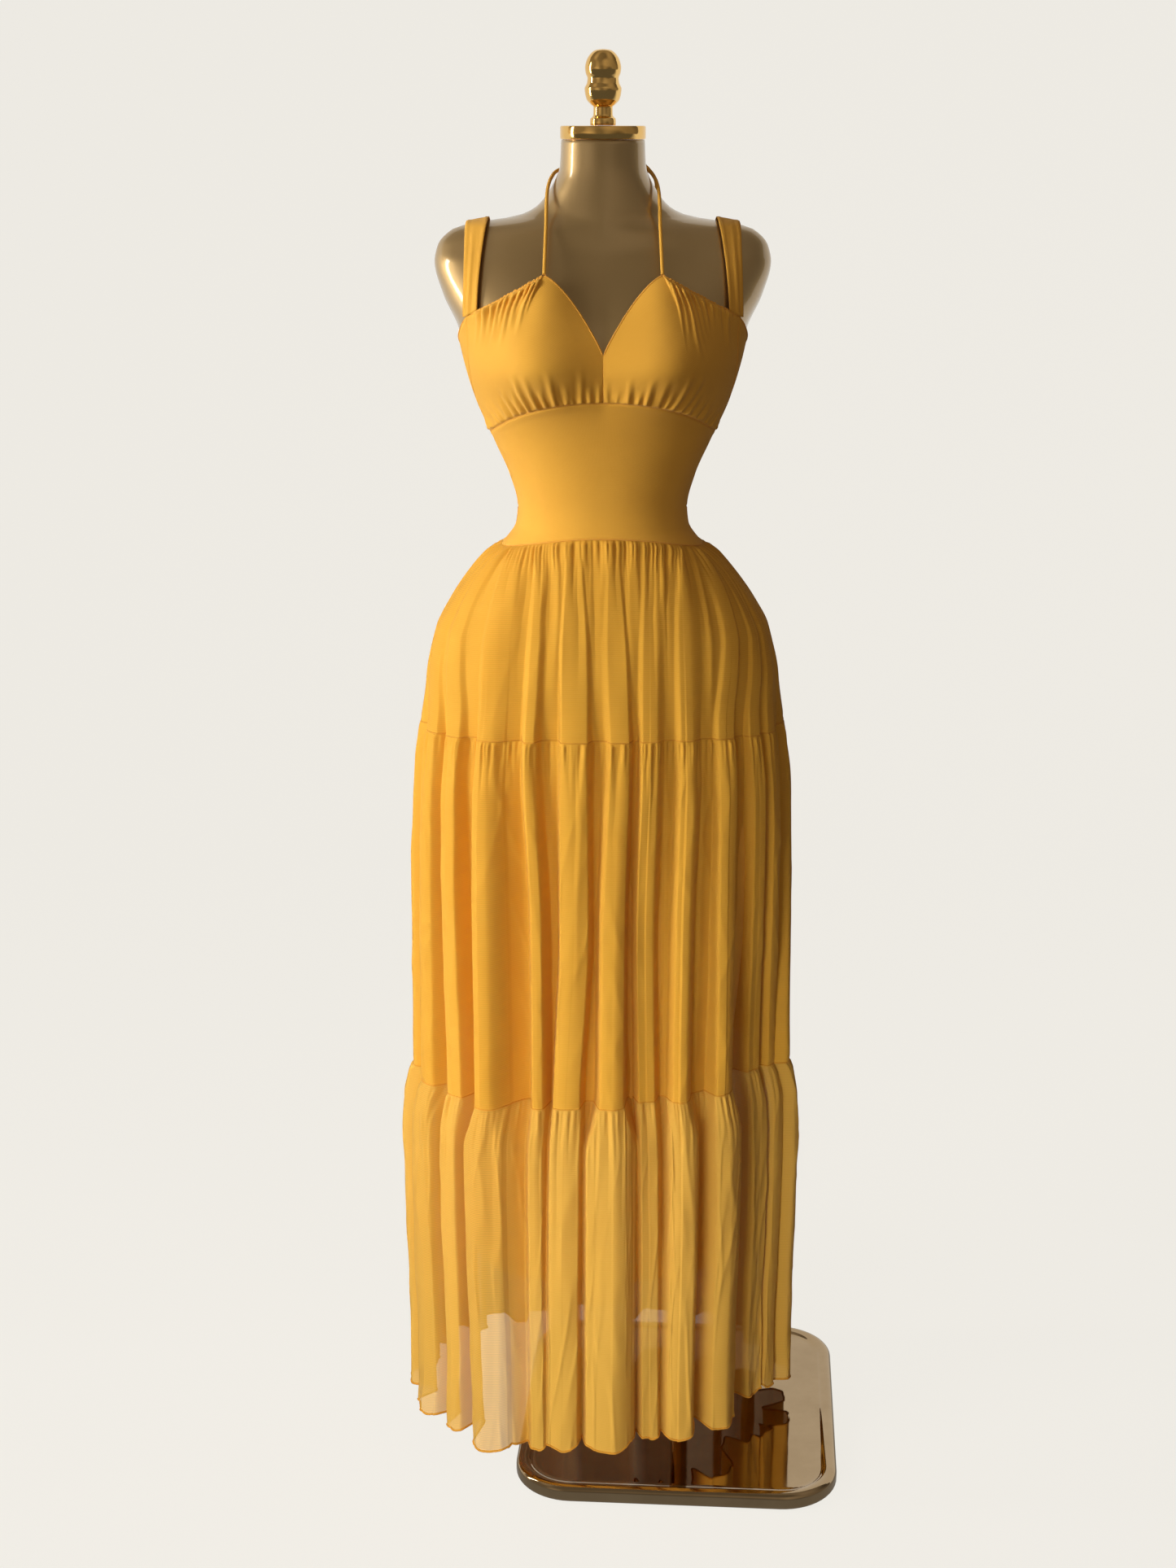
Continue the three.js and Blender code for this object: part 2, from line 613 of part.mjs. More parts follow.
function tierPanel(tier, panel) {
  const [topKey, lowKey] = { 1: ["waist", "upper"], 2: ["upper", "lower"], 3: ["lower", "hem"] }[tier];
  const heights = { waist: waistHeight, upper: upperSeamHeight, lower: lowerSeamHeight, hem: () => HEM_HEIGHT };
  const firstFold = panel === "front" ? 0 : RIGHT_SEAM_FOLD;
  const lastFold = panel === "front" ? RIGHT_SEAM_FOLD : FOLDS.length - 1;
  const columns = (lastFold - firstFold) * COLUMNS_PER_FOLD;
  const drops = TIER_ROWS[tier];
  const outer = [];
  const inner = [];
  drops.forEach((drop) => {
    const share = drop / drops[drops.length - 1];
    const fade = 1 - smooth((drop - GATHER_START) / (GATHER_LENGTH - GATHER_START));
    const row = Array.from({ length: columns + 1 }, (_, c) => {
      const foldNumber = Math.min(firstFold + Math.floor(c / COLUMNS_PER_FOLD), lastFold - 1);
      const within = (c - (foldNumber - firstFold) * COLUMNS_PER_FOLD) / COLUMNS_PER_FOLD;
      const heightOf = (key) => heights[key](mix(FOLDS[foldNumber][key], FOLDS[foldNumber + 1][key], within));
      const lift = tier === 3 ? HEM_LIFT * Math.sin(Math.PI * within) ** 2 * share ** 4 : 0;
      const z = mix(heightOf(topKey) - SEAM_GAP, heightOf(lowKey), share) + lift;
      const gather = drop === 0 || c === 0 || c === columns ? 0 : TIER_GATHER[tier] * (c % 2) * fade;
      return foldedPoint(foldNumber, within, z, gather);
    });
    const inward = panel === "front" ? -SEAM_GAP / 2 : SEAM_GAP / 2;
    row[0].point.y += inward;
    row[columns].point.y += inward;
    inner.push(row.map((item) => item.point));
    outer.push(row.map((item, c) => {
      const before = row[Math.max(c - 1, 0)].point;
      const after = row[Math.min(c + 1, columns)].point;
      const level = after.clone().sub(before).setZ(0).normalize();
      const facing = new THREE.Vector3(level.y, -level.x, 0);
      const direction = c === 0 || c === columns ? item.normal.clone() : facing.add(item.normal).normalize();
      return item.point.clone().addScaledVector(direction, CLOTH * 1.15);
    }));
  });
  return wall(outer, inner);
}

// Lining
function liningPanel(panel) {
  const start = panel === "front" ? -90 : 90;
  const columns = FORM_COLUMNS / 2;
  const heights = [1118, 1089, 1060, 1031, 973, 913, 820, 700];
  const grid = (distance) => {
    const rows = [];
    for (let r = 0; r <= heights.length + 1; r += 1) {
      rows.push(Array.from({ length: columns + 1 }, (_, c) => {
        const angle = start + (180 / columns) * c;
        const tops = [waistHeight(angle) - SEAM_GAP, ...heights, LINING_HEM];
        const point = levelOffset(liningPoint, angle, tops[r], distance);
        if (c === 0 || c === columns) point.y += panel === "front" ? -SEAM_GAP / 2 : SEAM_GAP / 2;
        return point;
      }));
    }
    return rows;
  };
  return wall(grid(LINING_CLOTH), grid(0));
}

// Stand
function basePlate() {
  const sidesPerCorner = 5;
  const ring = (level) => {
    const radius = BASE.corner - level.inset;
    const corners = [[1, 1, 0], [-1, 1, 90], [-1, -1, 180], [1, -1, 270]];
    return corners.flatMap(([sx, sy, start]) =>
      Array.from({ length: sidesPerCorner + 1 }, (_, i) => {
        const turn = radians(start + (90 / sidesPerCorner) * i);
        const x = sx * (BASE.width / 2 - BASE.corner) + radius * Math.cos(turn);
        const y = sy * (BASE.depth / 2 - BASE.corner) + radius * Math.sin(turn);
        return new THREE.Vector3(x, y, level.z);
      }));
  };
  return loft([...BASE_EDGE].reverse().map(ring));
}

function cylinder(diameter, low, high, sides) {
  const geometry = new THREE.CylinderGeometry(diameter / 2, diameter / 2, high - low, sides);
  return geometry.rotateX(Math.PI / 2).translate(0, 0, (low + high) / 2);
}

// Finishes
const finish = (color, roughness, metalness) => new THREE.MeshStandardMaterial({ color, roughness, metalness });
const FINISHES = {
  jersey: () => finish(0xd89a36, 0.85, 0),
  mesh: () => finish(0xe0a63f, 0.8, 0),
  lining: () => finish(0xcf9335, 0.85, 0),
  form: () => finish(0x8d6c38, 0.3, 0.5),
  gold: () => finish(0xe0b357, 0.15, 1),
  bronze: () => finish(0x8f6f4c, 0.12, 1),
};

const dress = new THREE.Group();

function add(name, geometry, material) {
  const mesh = new THREE.Mesh(geometry, FINISHES[material]());
  mesh.name = name;
  dress.add(mesh);
  return mesh;
}

add("form_torso", formTorso(), "form");
add("neck_cap", lathe(CAP_PROFILE, 28), "gold");
add("finial", lathe(FINIAL_PROFILE, 16), "gold");

const plate = add("base_plate", basePlate(), "bronze");
plate.position.set(POLE_X, -BASE.forward, 0);
plate.rotation.z = radians(BASE.turn);

const flangeTop = BASE.top + SEAM_GAP + FLANGE.height;
const socketLow = FORM_BOTTOM - SEAM_GAP - SOCKET.height;
const stand = {
  pole_flange: cylinder(FLANGE.diameter, BASE.top + SEAM_GAP, flangeTop, 28),
  pole: cylinder(POLE_DIAMETER, flangeTop + SEAM_GAP, socketLow - SEAM_GAP, 20),
  pole_socket: cylinder(SOCKET.diameter, socketLow, FORM_BOTTOM - SEAM_GAP, 24),
};
Object.entries(stand).forEach(([name, geometry]) => {
  add(name, geometry, "bronze").position.x = POLE_X;
});

[[-1, "left"], [1, "right"]].forEach(([side, word]) => {
  add(`cup_${word}`, cup(side), "jersey");
  add(`shoulder_strap_${word}`, shoulderStrap(side), "jersey");
  const route = TIE_ROUTE.map(([x, y, z]) => [x * side, y, z]);
  add(`halter_tie_${word}`, tube(route, TIE_DIAMETER), "jersey");
});
add("midriff_front", midriffFront(), "jersey");
add("bodice_back", bodiceBack(), "jersey");

add("tie_tail_right", tube(RIGHT_TAIL_ROUTE, TIE_DIAMETER), "jersey");
add("tie_tail_left", tube(LEFT_TAIL_ROUTE, TIE_DIAMETER), "jersey");
const knot = add("halter_knot", new THREE.SphereGeometry(1, 12, 8), "jersey");
knot.scale.set(KNOT.wide, KNOT.deep, KNOT.tall);
knot.position.set(KNOT.x, KNOT.y, KNOT.z);

["front", "back"].forEach((panel) => {
  [1, 2, 3].forEach((tier) => add(`tier${tier}_${panel}`, tierPanel(tier, panel), "mesh"));
  add(`lining_${panel}`, liningPanel(panel), "lining");
});

export default dress;
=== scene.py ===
# A tiered halter dress on a limbless dress form, dressed in fine cloth, paint and metal.
# Sizes are in millimetres and angles in degrees round the figure: 0 at centre front, 90 at the right
# side seam, 180 at centre back. Objects are made in metres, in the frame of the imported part.

import math

import bpy
import numpy as np
from mathutils.geometry import interpolate_bezier
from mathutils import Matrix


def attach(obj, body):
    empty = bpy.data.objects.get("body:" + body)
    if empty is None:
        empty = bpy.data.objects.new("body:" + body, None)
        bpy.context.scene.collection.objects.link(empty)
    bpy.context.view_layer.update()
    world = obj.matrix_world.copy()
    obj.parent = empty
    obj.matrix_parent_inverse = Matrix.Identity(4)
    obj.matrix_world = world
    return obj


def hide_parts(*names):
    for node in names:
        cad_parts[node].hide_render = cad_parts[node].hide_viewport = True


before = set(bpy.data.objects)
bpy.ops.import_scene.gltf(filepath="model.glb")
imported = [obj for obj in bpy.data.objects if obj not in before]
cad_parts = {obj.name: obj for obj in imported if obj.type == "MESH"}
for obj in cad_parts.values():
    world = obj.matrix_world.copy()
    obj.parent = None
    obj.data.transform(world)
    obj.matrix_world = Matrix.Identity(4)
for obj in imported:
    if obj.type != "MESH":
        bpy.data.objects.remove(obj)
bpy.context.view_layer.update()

MM = 0.001
SEED = 20


# Tables of sizes

def smooth_between(knots, values, places):
    """Values between knots, smooth and with no overshoot. The knots rise or fall all the way."""
    knots, values = np.asarray(knots, float), np.asarray(values, float)
    if knots[0] > knots[-1]:
        knots, values = knots[::-1], values[::-1]
    slopes = np.diff(values) / np.diff(knots)
    before, after = slopes[:-1], slopes[1:]
    same_way = before * after > 0
    total = np.where(same_way, before + after, 1)
    inner = np.where(same_way, 2 * before * after / total, 0)
    tangents = np.concatenate([slopes[:1], inner, slopes[-1:]])
    places = np.clip(places, knots[0], knots[-1])
    i = np.clip(np.searchsorted(knots, places, side="right") - 1, 0, len(slopes) - 1)
    span = knots[i + 1] - knots[i]
    t = (places - knots[i]) / span
    return (
        (2 * t**3 - 3 * t**2 + 1) * values[i] + (t**3 - 2 * t**2 + t) * span * tangents[i]
        + (3 * t**2 - 2 * t**3) * values[i + 1] + (t**3 - t**2) * span * tangents[i + 1]
    )


class Table:
    """Numbers under named columns, from text with the names in its first line. The first column is
    what the others are read at."""

    def __init__(self, text):
        self.names, *rows = [line.split() for line in text.strip().splitlines()]
        self.columns = dict(zip(self.names, np.array(rows, float).T))
        self.count = len(rows)

    def row(self, number):
        return {name: column[number] for name, column in self.columns.items()}

    def __getitem__(self, name):
        return self.columns[name]

    def at(self, place, name):
        return smooth_between(self.columns[self.names[0]], self.columns[name], place)


NECK_TOP = 1581.5
FORM_BOTTOM = 720
FIGURE = Table(f"""
    z half front back power
    {NECK_TOP} 46.5 46 46 2.0
    1553 48 48 50 2.0
    1532 57 52 58 2.0
    1511 73 57 64 1.8
    1500 95 60 66 1.5
    1493 140 62 67 1.35
    1486 167 64 68 1.45
    1468 185 68 71 1.7
    1450 189 75 75 2.0
    1415 180 90 82 2.2
    1378 163 104 88 2.3
    1342 154 110 90 2.3
    1305 143 104 86 2.3
    1250 119 89 78 2.25
    1213 103 81 75 2.2
    1175 93.5 76 75 2.2
    1156 95.5 78 80 2.2
    1137 107 84 92 2.2
    1118 127 92 105 2.2
    1089 152 104 122 2.25
    1060 171.5 114 136 2.3
    1031 186.5 122 146 2.35
    973 198 130 150 2.35
    913 199 130 142 2.35
    820 192 122 126 2.35
    732 179 112 110 2.35
    723 172 105 103 2.3
    {FORM_BOTTOM} 160 93 91 2.25
""")
BUST = {"x": 78, "z": 1345, "height": 36, "across": 44, "above": 50, "below": 30}
HIP_BREAK = 913
SKIRT_EASE = Table(f"""
    z ease
    1150 2.2
    1132 2.6
    1118 4.6
    1060 5.6
    973 7
    {HIP_BREAK} 13
""")
SKIRT_HANG = Table(f"""
    z half front back power
    {HIP_BREAK} 212 143 155 2.35
    853 218.5 146 161 2.35
    731 222.5 148 165 2.35
    487 224.5 149 169 2.35
    440 232.5 155 173 2.35
    300 236.5 160 176 2.35
    150 233.5 164 177 2.35
    40 234.5 167 178 2.35
""")
LINING_EASE = Table(f"""
    z ease
    1150 0.6
    {HIP_BREAK} 1.0
""")
LINING_HANG = Table(f"""
    z half front back power
    {HIP_BREAK} 200 131 143 2.35
    820 194 128 135 2.35
    700 181 125 123 2.35
    487 158 118 106 2.35
    240 155 115 91 2.35
""")

# Skirt folds, round from the left side seam. For each crest: its angle at the waist, the upper seam,
# half-way down the middle tier, the lower seam and the hem; how far its flat top reaches to either
# side, and how wide the slopes beyond are; how much wider it is in the bottom tier; and how far the
# crest and the hollow after it stand out at the hem, and how far the crest is set back; how strongly
# it shows over the hips, and how sheer it is, from 0 where cloth lies double to 1 where it is single.
FOLDS = Table("""
    waist upper middle lower hem left right rise fall spread crest hollow setback hips sheer
    -90 -90 -90 -90 -90 3 3 4 4 1.0 0 -12 0 0 0.3
    -80 -66 -64.5 -64.5 -63 5 4 5 3 1.6 2 -16 8 0.12 0.85
    -70 -52 -50 -48 -47 3 4 3 3 1.0 0 -18 2 0.1 0.45
    -60 -36 -34.5 -33.5 -31 2 3 3 11 2.4 16 -15 -4 0.35 1.0
    -39 -19.5 -16.3 -16 -15.6 1.2 1.4 2.5 2.5 1.2 6 -16 0 1.3 0.3
    -16 -6.3 -6 -8 -8.8 3.4 3.2 1.4 1.4 1.1 4 -12 0 1.2 0.02
    5 3.5 2.1 1.9 1.7 2.0 2.2 1.4 1.4 2.3 5 -18 0 0.7 0.02
    28 11.5 9.8 10.5 11.5 2.0 2.0 1.8 3 1.0 -4 -18 16 0.9 0.4
    51 23 21 20.5 20 1.6 2 2.2 8 2.0 -12 -42 0 0.9 0.02
    66 39 38 38 37.5 3.2 3.4 4 2 1.5 -10 -26 10 0.15 0.02
    73 53 53 52.5 52 2.5 3 2 3 1.2 0 -10 74 0.2 0.3
    81 65.7 65.6 65.5 62.3 3 3 3 3 1.2 0 -10 64 0.2 0.3
    90 90 90 90 90 4 4 4 4 1.0 0 -12 8 0.1 0.3
    104 107 108 109 107 3 4 3 5 1.3 5 -15 0 0.6 0.4
    118 124 125.5 127 128 3 3 3 3 1.6 2 -18 0 0.9 0.2
    135 141 143.5 146 144 4 3 2 6 1.2 8 -14 0 0.5 0.5
    152 160 160.5 161 163 3 3 2 3 1.8 3 -20 0 0.8 0.2
    171 178 177.5 177 180 4 4 3 2 1.3 7 -15 0 1.1 0.3
    193 196 196.5 197 195 2 3 3 4 1.6 2 -18 0 0.6 0.4
    212 214 213.5 213 214 4 3 2 3 1.3 6 -13 0 0.9 0.2
    229 231 232 233 231 3 4 2 5 1.4 3 -17 0 0.4 0.4
    247 251 250 249 251 4 3 3 3 1.3 5 -12 0 0.7 0.3
    270 270 270 270 270 3 3 4 4 1.0 0 0 0 0 0.3
""")
RIGHT_SEAM_FOLD = 12
FOLD_GROWTH = Table("""
    z depth setback rise
    1150 0 0 0
    1118 0.02 0 0.8
    1080 0.05 0 1.4
    1030 0.08 0 1.8
    973 0.14 0 2
    913 0.36 0 1.6
    730 0.76 0.4 0
    487 0.95 0.95 0
    40 1.1 1 0
""")

# Lesser creases of the skirt's front: tier, angle at the tier's top and foot, height at which the
# crease dies out, how far it stands out, and its half width
FRONT_CREASES = Table("""
    tier top low reach height width
    1 -72 -58 935 1.4 2.6
    1 -53 -29 1051 2.0 3.0
    1 -32 -20 1075 2.0 2.4
    1 -24 -13 994 2.4 1.8
    1 -6 -3 1024 2.0 1.8
    1 -1 0 995 1.8 1.4
    1 13 7 994 2.4 2.0
    1 20 9 1040 1.6 2.0
    1 38 18 1010 2.4 2.6
    1 60 33 960 1.6 1.6
    2 -76 -74 520 2.4 2.4
    2 -58 -57 600 1.8 2.0
    2 -29 -26 560 2.0 2.2
    2 -25 -22 700 1.6 1.8
    2 -12.5 -12.5 700 1.2 1.0
    2 -4.5 -6 640 0.8 0.9
    2 7.5 7 600 1.0 0.9
    2 16.5 16 560 1.6 1.3
    2 29 28 520 2.0 1.6
    2 45 46 560 1.6 1.6
    2 59 60 520 2.4 2.2
    2 78 77 520 2.4 2.6
    3 -56 -55 90 2.4 2.0
    3 -38 -39 70 1.8 1.6
    3 -25 -26 80 2.4 1.6
    3 -11 -12 120 1.2 1.0
    3 -2.5 -3 140 1.6 1.2
    3 4.5 5 200 1.4 1.1
    3 24 25 70 2.0 1.6
    3 46 46 90 2.0 1.8
    3 58 58 80 3.0 2.0
    3 73 75 80 3.0 3.0
""")
BACK_CREASES_PER_TIER = 13
# Creases that start within this many degrees of a side seam run at a steady angle, and those
# further off run straight as seen from the front
STEADY_SIDE = {"within": 12, "over": 28}

UPPER_SEAM = 920
TIER2_MIDDLE = 702
LOWER_SEAM = 485
HEM_HEIGHT = 50
HEM_LIFT = 5
LINING_HEM = {"height": 245, "uneven": 2.0, "roll": 1.1}
# The lining's slow waves: how far they stand out, and where they begin below the hips
LINING_WAVES = {"out": 2.5, "below": 60, "over": 300}
LINING_THICK = 0.8
SEAM_GAP = 0.3
CLOTH_MIDDLE = 0.8
CROWN = 1.7
CROWN_REACH = 7
HOLLOW_DEPTH = 8
CROWN_TOP = 0.6
# Angles between which the right side hangs calmer, how gently this starts and ends, and the share
# by which its folds are less round
CALM_SIDE = {"from": 43, "to": 90, "over": 8, "share": 0.65}
# Height below which the bottom tier's crests grow wider, and the drop it takes
WIDER_BELOW = {"z": 500, "over": 70}
# Least room that a hollow leaves to the form over the hips and to the lining below them
HIP_ROOM = 3.0
LINING_ROOM = 2
HOLLOW_SHEER = 0.6

# Sizes of the bodice
BODICE_EASE = 2.9
JERSEY_THICK = 1.0
SEAM_ROLL = 0.9
SIDE_BEND = 1262
CUP_TIP = {"x": 64, "z": 1440}
CUP_CORNER = {"x": 145, "z": 1395, "angle": 58}
NECKLINE_LOW = 1355
NECKLINE_SHARE = 11 / 24
NECKLINE_BEND = 1.45
BODICE_SEAM_ANGLE = 88
BACK_TOP = 1325
# The cup's tip is pulled away from the chest by the tie: how far, over what width, from what height
TIP_STANDOFF = {"out": 20, "width": 38, "from": 1365, "over": 75}
BACK_SEAM_TURN = 0.18
SHOULDER = {"low": 1450.0, "high": 1511.0}
STRAP_WIDTH = 25
STRAP_FOOT_SHARE = 0.62
STRAP_FRONT_X = 139
STRAP_BACK_X = 120
STRAP_FOOT_INSET = 3.5
STRAP_FOOT_GAP = -1.5
STRAP_EASE = 3.0
STRAP_THICK = 1.6
# How the strap is smoothed where it crosses the shoulder, to either side of its middle
STRAP_SOFTENING = {"rounds": 30, "reach": 0.06}
TIE_DIAMETER = 4

# Gathers above the underbust seam: share of the way from centre front to the side seam, how far up
# the cup it runs, how far it stands out, its half width as a share, and its sideways lean
CUP_GATHERS = {
    -1: Table("""
        share reach height width lean
        0.015 0.46 2.0 0.008 0.00
        0.050 0.30 1.8 0.008 0.05
        0.085 0.48 2.2 0.010 0.06
        0.150 0.30 2.0 0.010 0.12
        0.205 0.40 2.4 0.011 0.22
        0.255 0.22 2.0 0.010 0.30
        0.300 0.36 2.6 0.012 0.38
        0.350 0.40 2.6 0.012 0.45
        0.400 0.24 2.2 0.012 0.50
        0.450 0.30 2.0 0.012 0.55
        0.510 0.22 1.6 0.014 0.60
        0.590 0.18 1.2 0.014 0.60
    """),
    1: Table("""
        share reach height width lean
        0.012 0.44 2.0 0.008 0.00
        0.055 0.26 1.8 0.009 0.05
        0.100 0.40 2.4 0.010 0.08
        0.145 0.22 1.8 0.009 0.14
        0.178 0.34 2.4 0.011 0.22
        0.235 0.30 2.2 0.011 0.32
        0.280 0.20 2.0 0.010 0.38
        0.320 0.38 2.8 0.012 0.50
        0.375 0.42 2.8 0.012 0.58
        0.430 0.24 2.0 0.012 0.55
        0.490 0.26 1.8 0.014 0.60
        0.570 0.18 1.2 0.014 0.60
    """),
}
# Gathers below the drawn-up top edge, from the tip to the corner, with the same columns
CUP_DRAWS = {
    -1: Table("""
        share reach height width lean
        0.480 0.26 3.0 0.010 0.00
        0.515 0.38 3.6 0.012 0.03
        0.555 0.24 2.8 0.011 0.00
        0.600 0.32 3.2 0.012 0.00
        0.650 0.42 3.6 0.013 0.03
        0.700 0.26 3.0 0.012 0.03
        0.745 0.36 3.2 0.013 0.03
        0.800 0.24 2.6 0.012 0.02
        0.860 0.30 2.6 0.013 0.02
        0.925 0.34 2.0 0.012 0.02
    """),
    1: Table("""
        share reach height width lean
        0.475 0.46 2.6 0.010 -0.16
        0.503 0.54 3.0 0.011 -0.12
        0.538 0.40 2.8 0.011 -0.05
        0.575 0.56 3.2 0.012 0.02
        0.615 0.44 2.8 0.012 0.04
        0.660 0.34 2.4 0.012 0.03
        0.715 0.26 2.0 0.012 0.02
        0.780 0.20 1.8 0.011 0.02
        0.840 0.24 1.6 0.012 0.02
        0.910 0.34 1.6 0.012 0.02
    """),
}
# A gather grows wider towards its end, and has a shallow valley beside it
GATHER_SHAPE = {"widening": 0.8, "valley_at": 2.0, "valley_depth": 0.35}
CUP_GIRTH = 185
CUP_TALL = 130
CASING = {"height": 1.0, "down": 0.035, "width": 0.025}
CASING_ROLL = {"thin": 1.3, "thicker": 0.9, "step": 0.9, "spacing": 4.2}
CUP_PUCKER = 1.8
# Fine gathers along a cup's edges: their spacing, height and length
EDGE_GATHERS = Table("""
    row spacing height length
    1 5.0 1.3 14
    2 9.5 1.7 28
    3 19 1.5 48
""")

# Turned profiles round the neck axis
CAP_PROFILE = (
    (0, 1581.8), (45.4, 1581.8), (46.7, 1582.2), (47.5, 1583.4), (47.5, 1595.0), (46.9, 1596.2),
    (45.6, 1596.6), (0, 1596.6),
)
FINIAL_PROFILE = Table("""
    step r z
    0 0 1596.9
    1 13.6 1596.9
    2 14.3 1598.4
    3 14.4 1600.6
    4 14 1604
    5 12.2 1605.8
    6 10.8 1608
    7 10.6 1616
    8 13.5 1619
    9 18 1624
    10 20 1631
    11 20.5 1636
    12 17.9 1642
    13 17.3 1647
    14 19.2 1652
    15 20 1658
    16 18.6 1665
    17 15 1671.5
    18 8.5 1676.6
    19 0 1678
""")

# Sizes of the stand
POLE_X = 101
POLE_DIAMETER = 22
SOCKET = {"diameter": 46, "height": 14}
FLANGE = {"diameter": 60, "height": 5}
TUBE_BEVEL = 0.8
BASE = {"width": 392, "depth": 420, "corner": 70, "top": 19, "turn": -4, "forward": 10}
BASE_EDGE = Table(f"""
    step inset z
    0 9 0
    1 3 2
    2 0 7
    3 0 15
    4 2.5 20
    5 8 22
    6 14 21
    7 18 {BASE["top"]}
""")

# Routes of the right-hand tie and of the two free ends behind the neck
TIE_ROUTE = (
    (64, -104.5, 1441.5), (63.6, -92.5, 1456), (63, -77, 1474), (62.4, -61, 1493), (62.2, -44, 1512),
    (61.6, -26, 1526), (59.6, -8, 1536), (56.8, 8, 1542), (52.5, 23, 1547), (44.5, 37, 1550),
    (33, 47.5, 1552), (20.5, 54.6, 1553), (9.2, 57.4, 1553),
)
RIGHT_TAIL_ROUTE = (
    (5, 61.6, 1557.5), (14, 65, 1563), (28, 66, 1563), (42, 62, 1557), (53, 56, 1548), (60, 53, 1537),
    (60.5, 55, 1526), (56, 61, 1515), (51, 69, 1503), (48, 76, 1487), (46.5, 80, 1470), (45.5, 83, 1452),
)
LEFT_TAIL_ROUTE = (
    (-3, 62, 1548.5), (-5, 67, 1538), (-7.5, 72, 1524), (-9.5, 76, 1508), (-10.5, 79, 1490),
    (-11, 82, 1470), (-11.5, 85, 1448),
)
KNOT = {"x": 0, "y": 58, "z": 1553, "wide": 8.6, "deep": 4.6, "tall": 6, "grooves": 0.10}


# Shapes worked out from the tables

def mix(a, b, share):
    return a + (b - a) * share


def smooth(share):
    s = np.clip(share, 0, 1)
    return s * s * (3 - 2 * s)


def signed_power(value, power):
    return np.sign(value) * np.abs(value) ** power


def section_point(rows, angle, z, ease=0):
    """A point of a rounded section at an angle and a height."""
    sine, cosine = np.sin(np.radians(angle)), np.cos(np.radians(angle))
    power = 2 / rows.at(z, "power")
    x = (rows.at(z, "half") + ease) * signed_power(sine, power)
    depth = np.where(cosine > 0, rows.at(z, "front"), rows.at(z, "back")) + ease
    return np.stack([x, -depth * signed_power(cosine, power), z + 0 * x], axis=-1)


def figure_point(angle, z):
    """The form's own surface: its section with a soft general bust."""
    angle, z = np.broadcast_arrays(np.asarray(angle, float), np.asarray(z, float))
    point = section_point(FIGURE, angle, z)
    facing = smooth(np.cos(np.radians(angle)) * 3)
    across = (np.abs(point[..., 0]) - BUST["x"]) / BUST["across"]
    along = (z - BUST["z"]) / np.where(z > BUST["z"], BUST["above"], BUST["below"])
    point[..., 1] -= BUST["height"] * facing * np.exp(-(across**2 + along**2) / 2)
    return point


def layer_point(ease_rows, hang_rows, angle, z):
    """A layer that lies over the hips and hangs below them from its own sections."""
    angle, z = np.broadcast_arrays(np.asarray(angle, float), np.asarray(z, float))
    over = section_point(FIGURE, angle, z, ease_rows.at(z, "ease"))
    hanging = section_point(hang_rows, angle, z)
    return np.where((z < HIP_BREAK)[..., None], hanging, over)


def skirt_point(angle, z):
    return layer_point(SKIRT_EASE, SKIRT_HANG, angle, z)


def lining_point(angle, z):
    return layer_point(LINING_EASE, LINING_HANG, angle, z)


def unit(vectors):
    return vectors / np.maximum(np.linalg.norm(vectors, axis=-1, keepdims=True), 1e-9)


def normal_at(surface, angle, z):
    """Outward direction of a surface given by angle and height."""
    around = surface(angle + 1.5, z) - surface(angle - 1.5, z)
    up = surface(angle, z + 1) - surface(angle, z - 1)
    return unit(np.cross(around, up))


def level_offset(surface, angle, z, distance):
    """A point moved level and outward so that it lies the given distance off the surface."""
    normal = normal_at(surface, angle, z)
    level = np.maximum(np.hypot(normal[..., 0], normal[..., 1]), 0.5)
    point = surface(angle, z)
    point[..., :2] += normal[..., :2] * (distance / level**2)[..., None]
    return point


def facing_front(angle):
    return np.maximum(0, np.cos(np.radians(angle))) ** 2


SEAMS = {
    "waist": lambda angle: 1132 + 17 * facing_front(angle),
    "underbust": lambda angle: SIDE_BEND + 42 * facing_front(angle),
    "upper": lambda angle: UPPER_SEAM + 8 * facing_front(angle),
    "lower": lambda angle: LOWER_SEAM + 3 * facing_front(angle),
    "hem": lambda angle: HEM_HEIGHT + 0 * angle,
}
TIER_ENDS = {1: ("waist", "upper"), 2: ("upper", "lower"), 3: ("lower", "hem")}


def wobble(across, down, seed, waves=5):
    """Slow uneven waves from -1 to 1 over two directions, each about one unit long."""
    chance = np.random.default_rng(seed)
    total = 0
    for _ in range(waves):
        turn, phase = chance.uniform(0, math.pi), chance.uniform(0, 6.3)
        length = chance.uniform(0.6, 1.6)
        total = total + np.sin((across * np.cos(turn) + down * np.sin(turn)) / length * 6.3 + phase)
    return total / waves


def comb(place, spacing, seed):
    """A row of uneven gathers about one spacing apart, from 0 in the valleys to 1 on the crests."""
    chance = np.random.default_rng(seed)
    low, high = place.min() - 2 * spacing, place.max() + 2 * spacing
    steps = chance.uniform(0.6, 1.4, int((high - low) / spacing) + 3) * spacing
    valleys = low + np.concatenate([[0], np.cumsum(steps)])
    heights = chance.uniform(0.35, 1, len(valleys))
    i = np.clip(np.searchsorted(valleys, place) - 1, 0, len(valleys) - 2)
    within = np.clip((place - valleys[i]) / (valleys[i + 1] - valleys[i]), 0, 1)
    return heights[i] * np.sin(math.pi * within) ** 0.8


def crinkle(across, down, seed):
    """Thin wandering creases, from 0 between them to 1 on them, in patches. One unit is the usual
    distance between creases across, and their usual length down."""
    ridge = np.exp(-(wobble(across, down, seed) / 0.2) ** 2)
    return ridge * smooth(0.5 + 1.4 * wobble(across / 2.5, down / 1.5, seed + 1, 3))


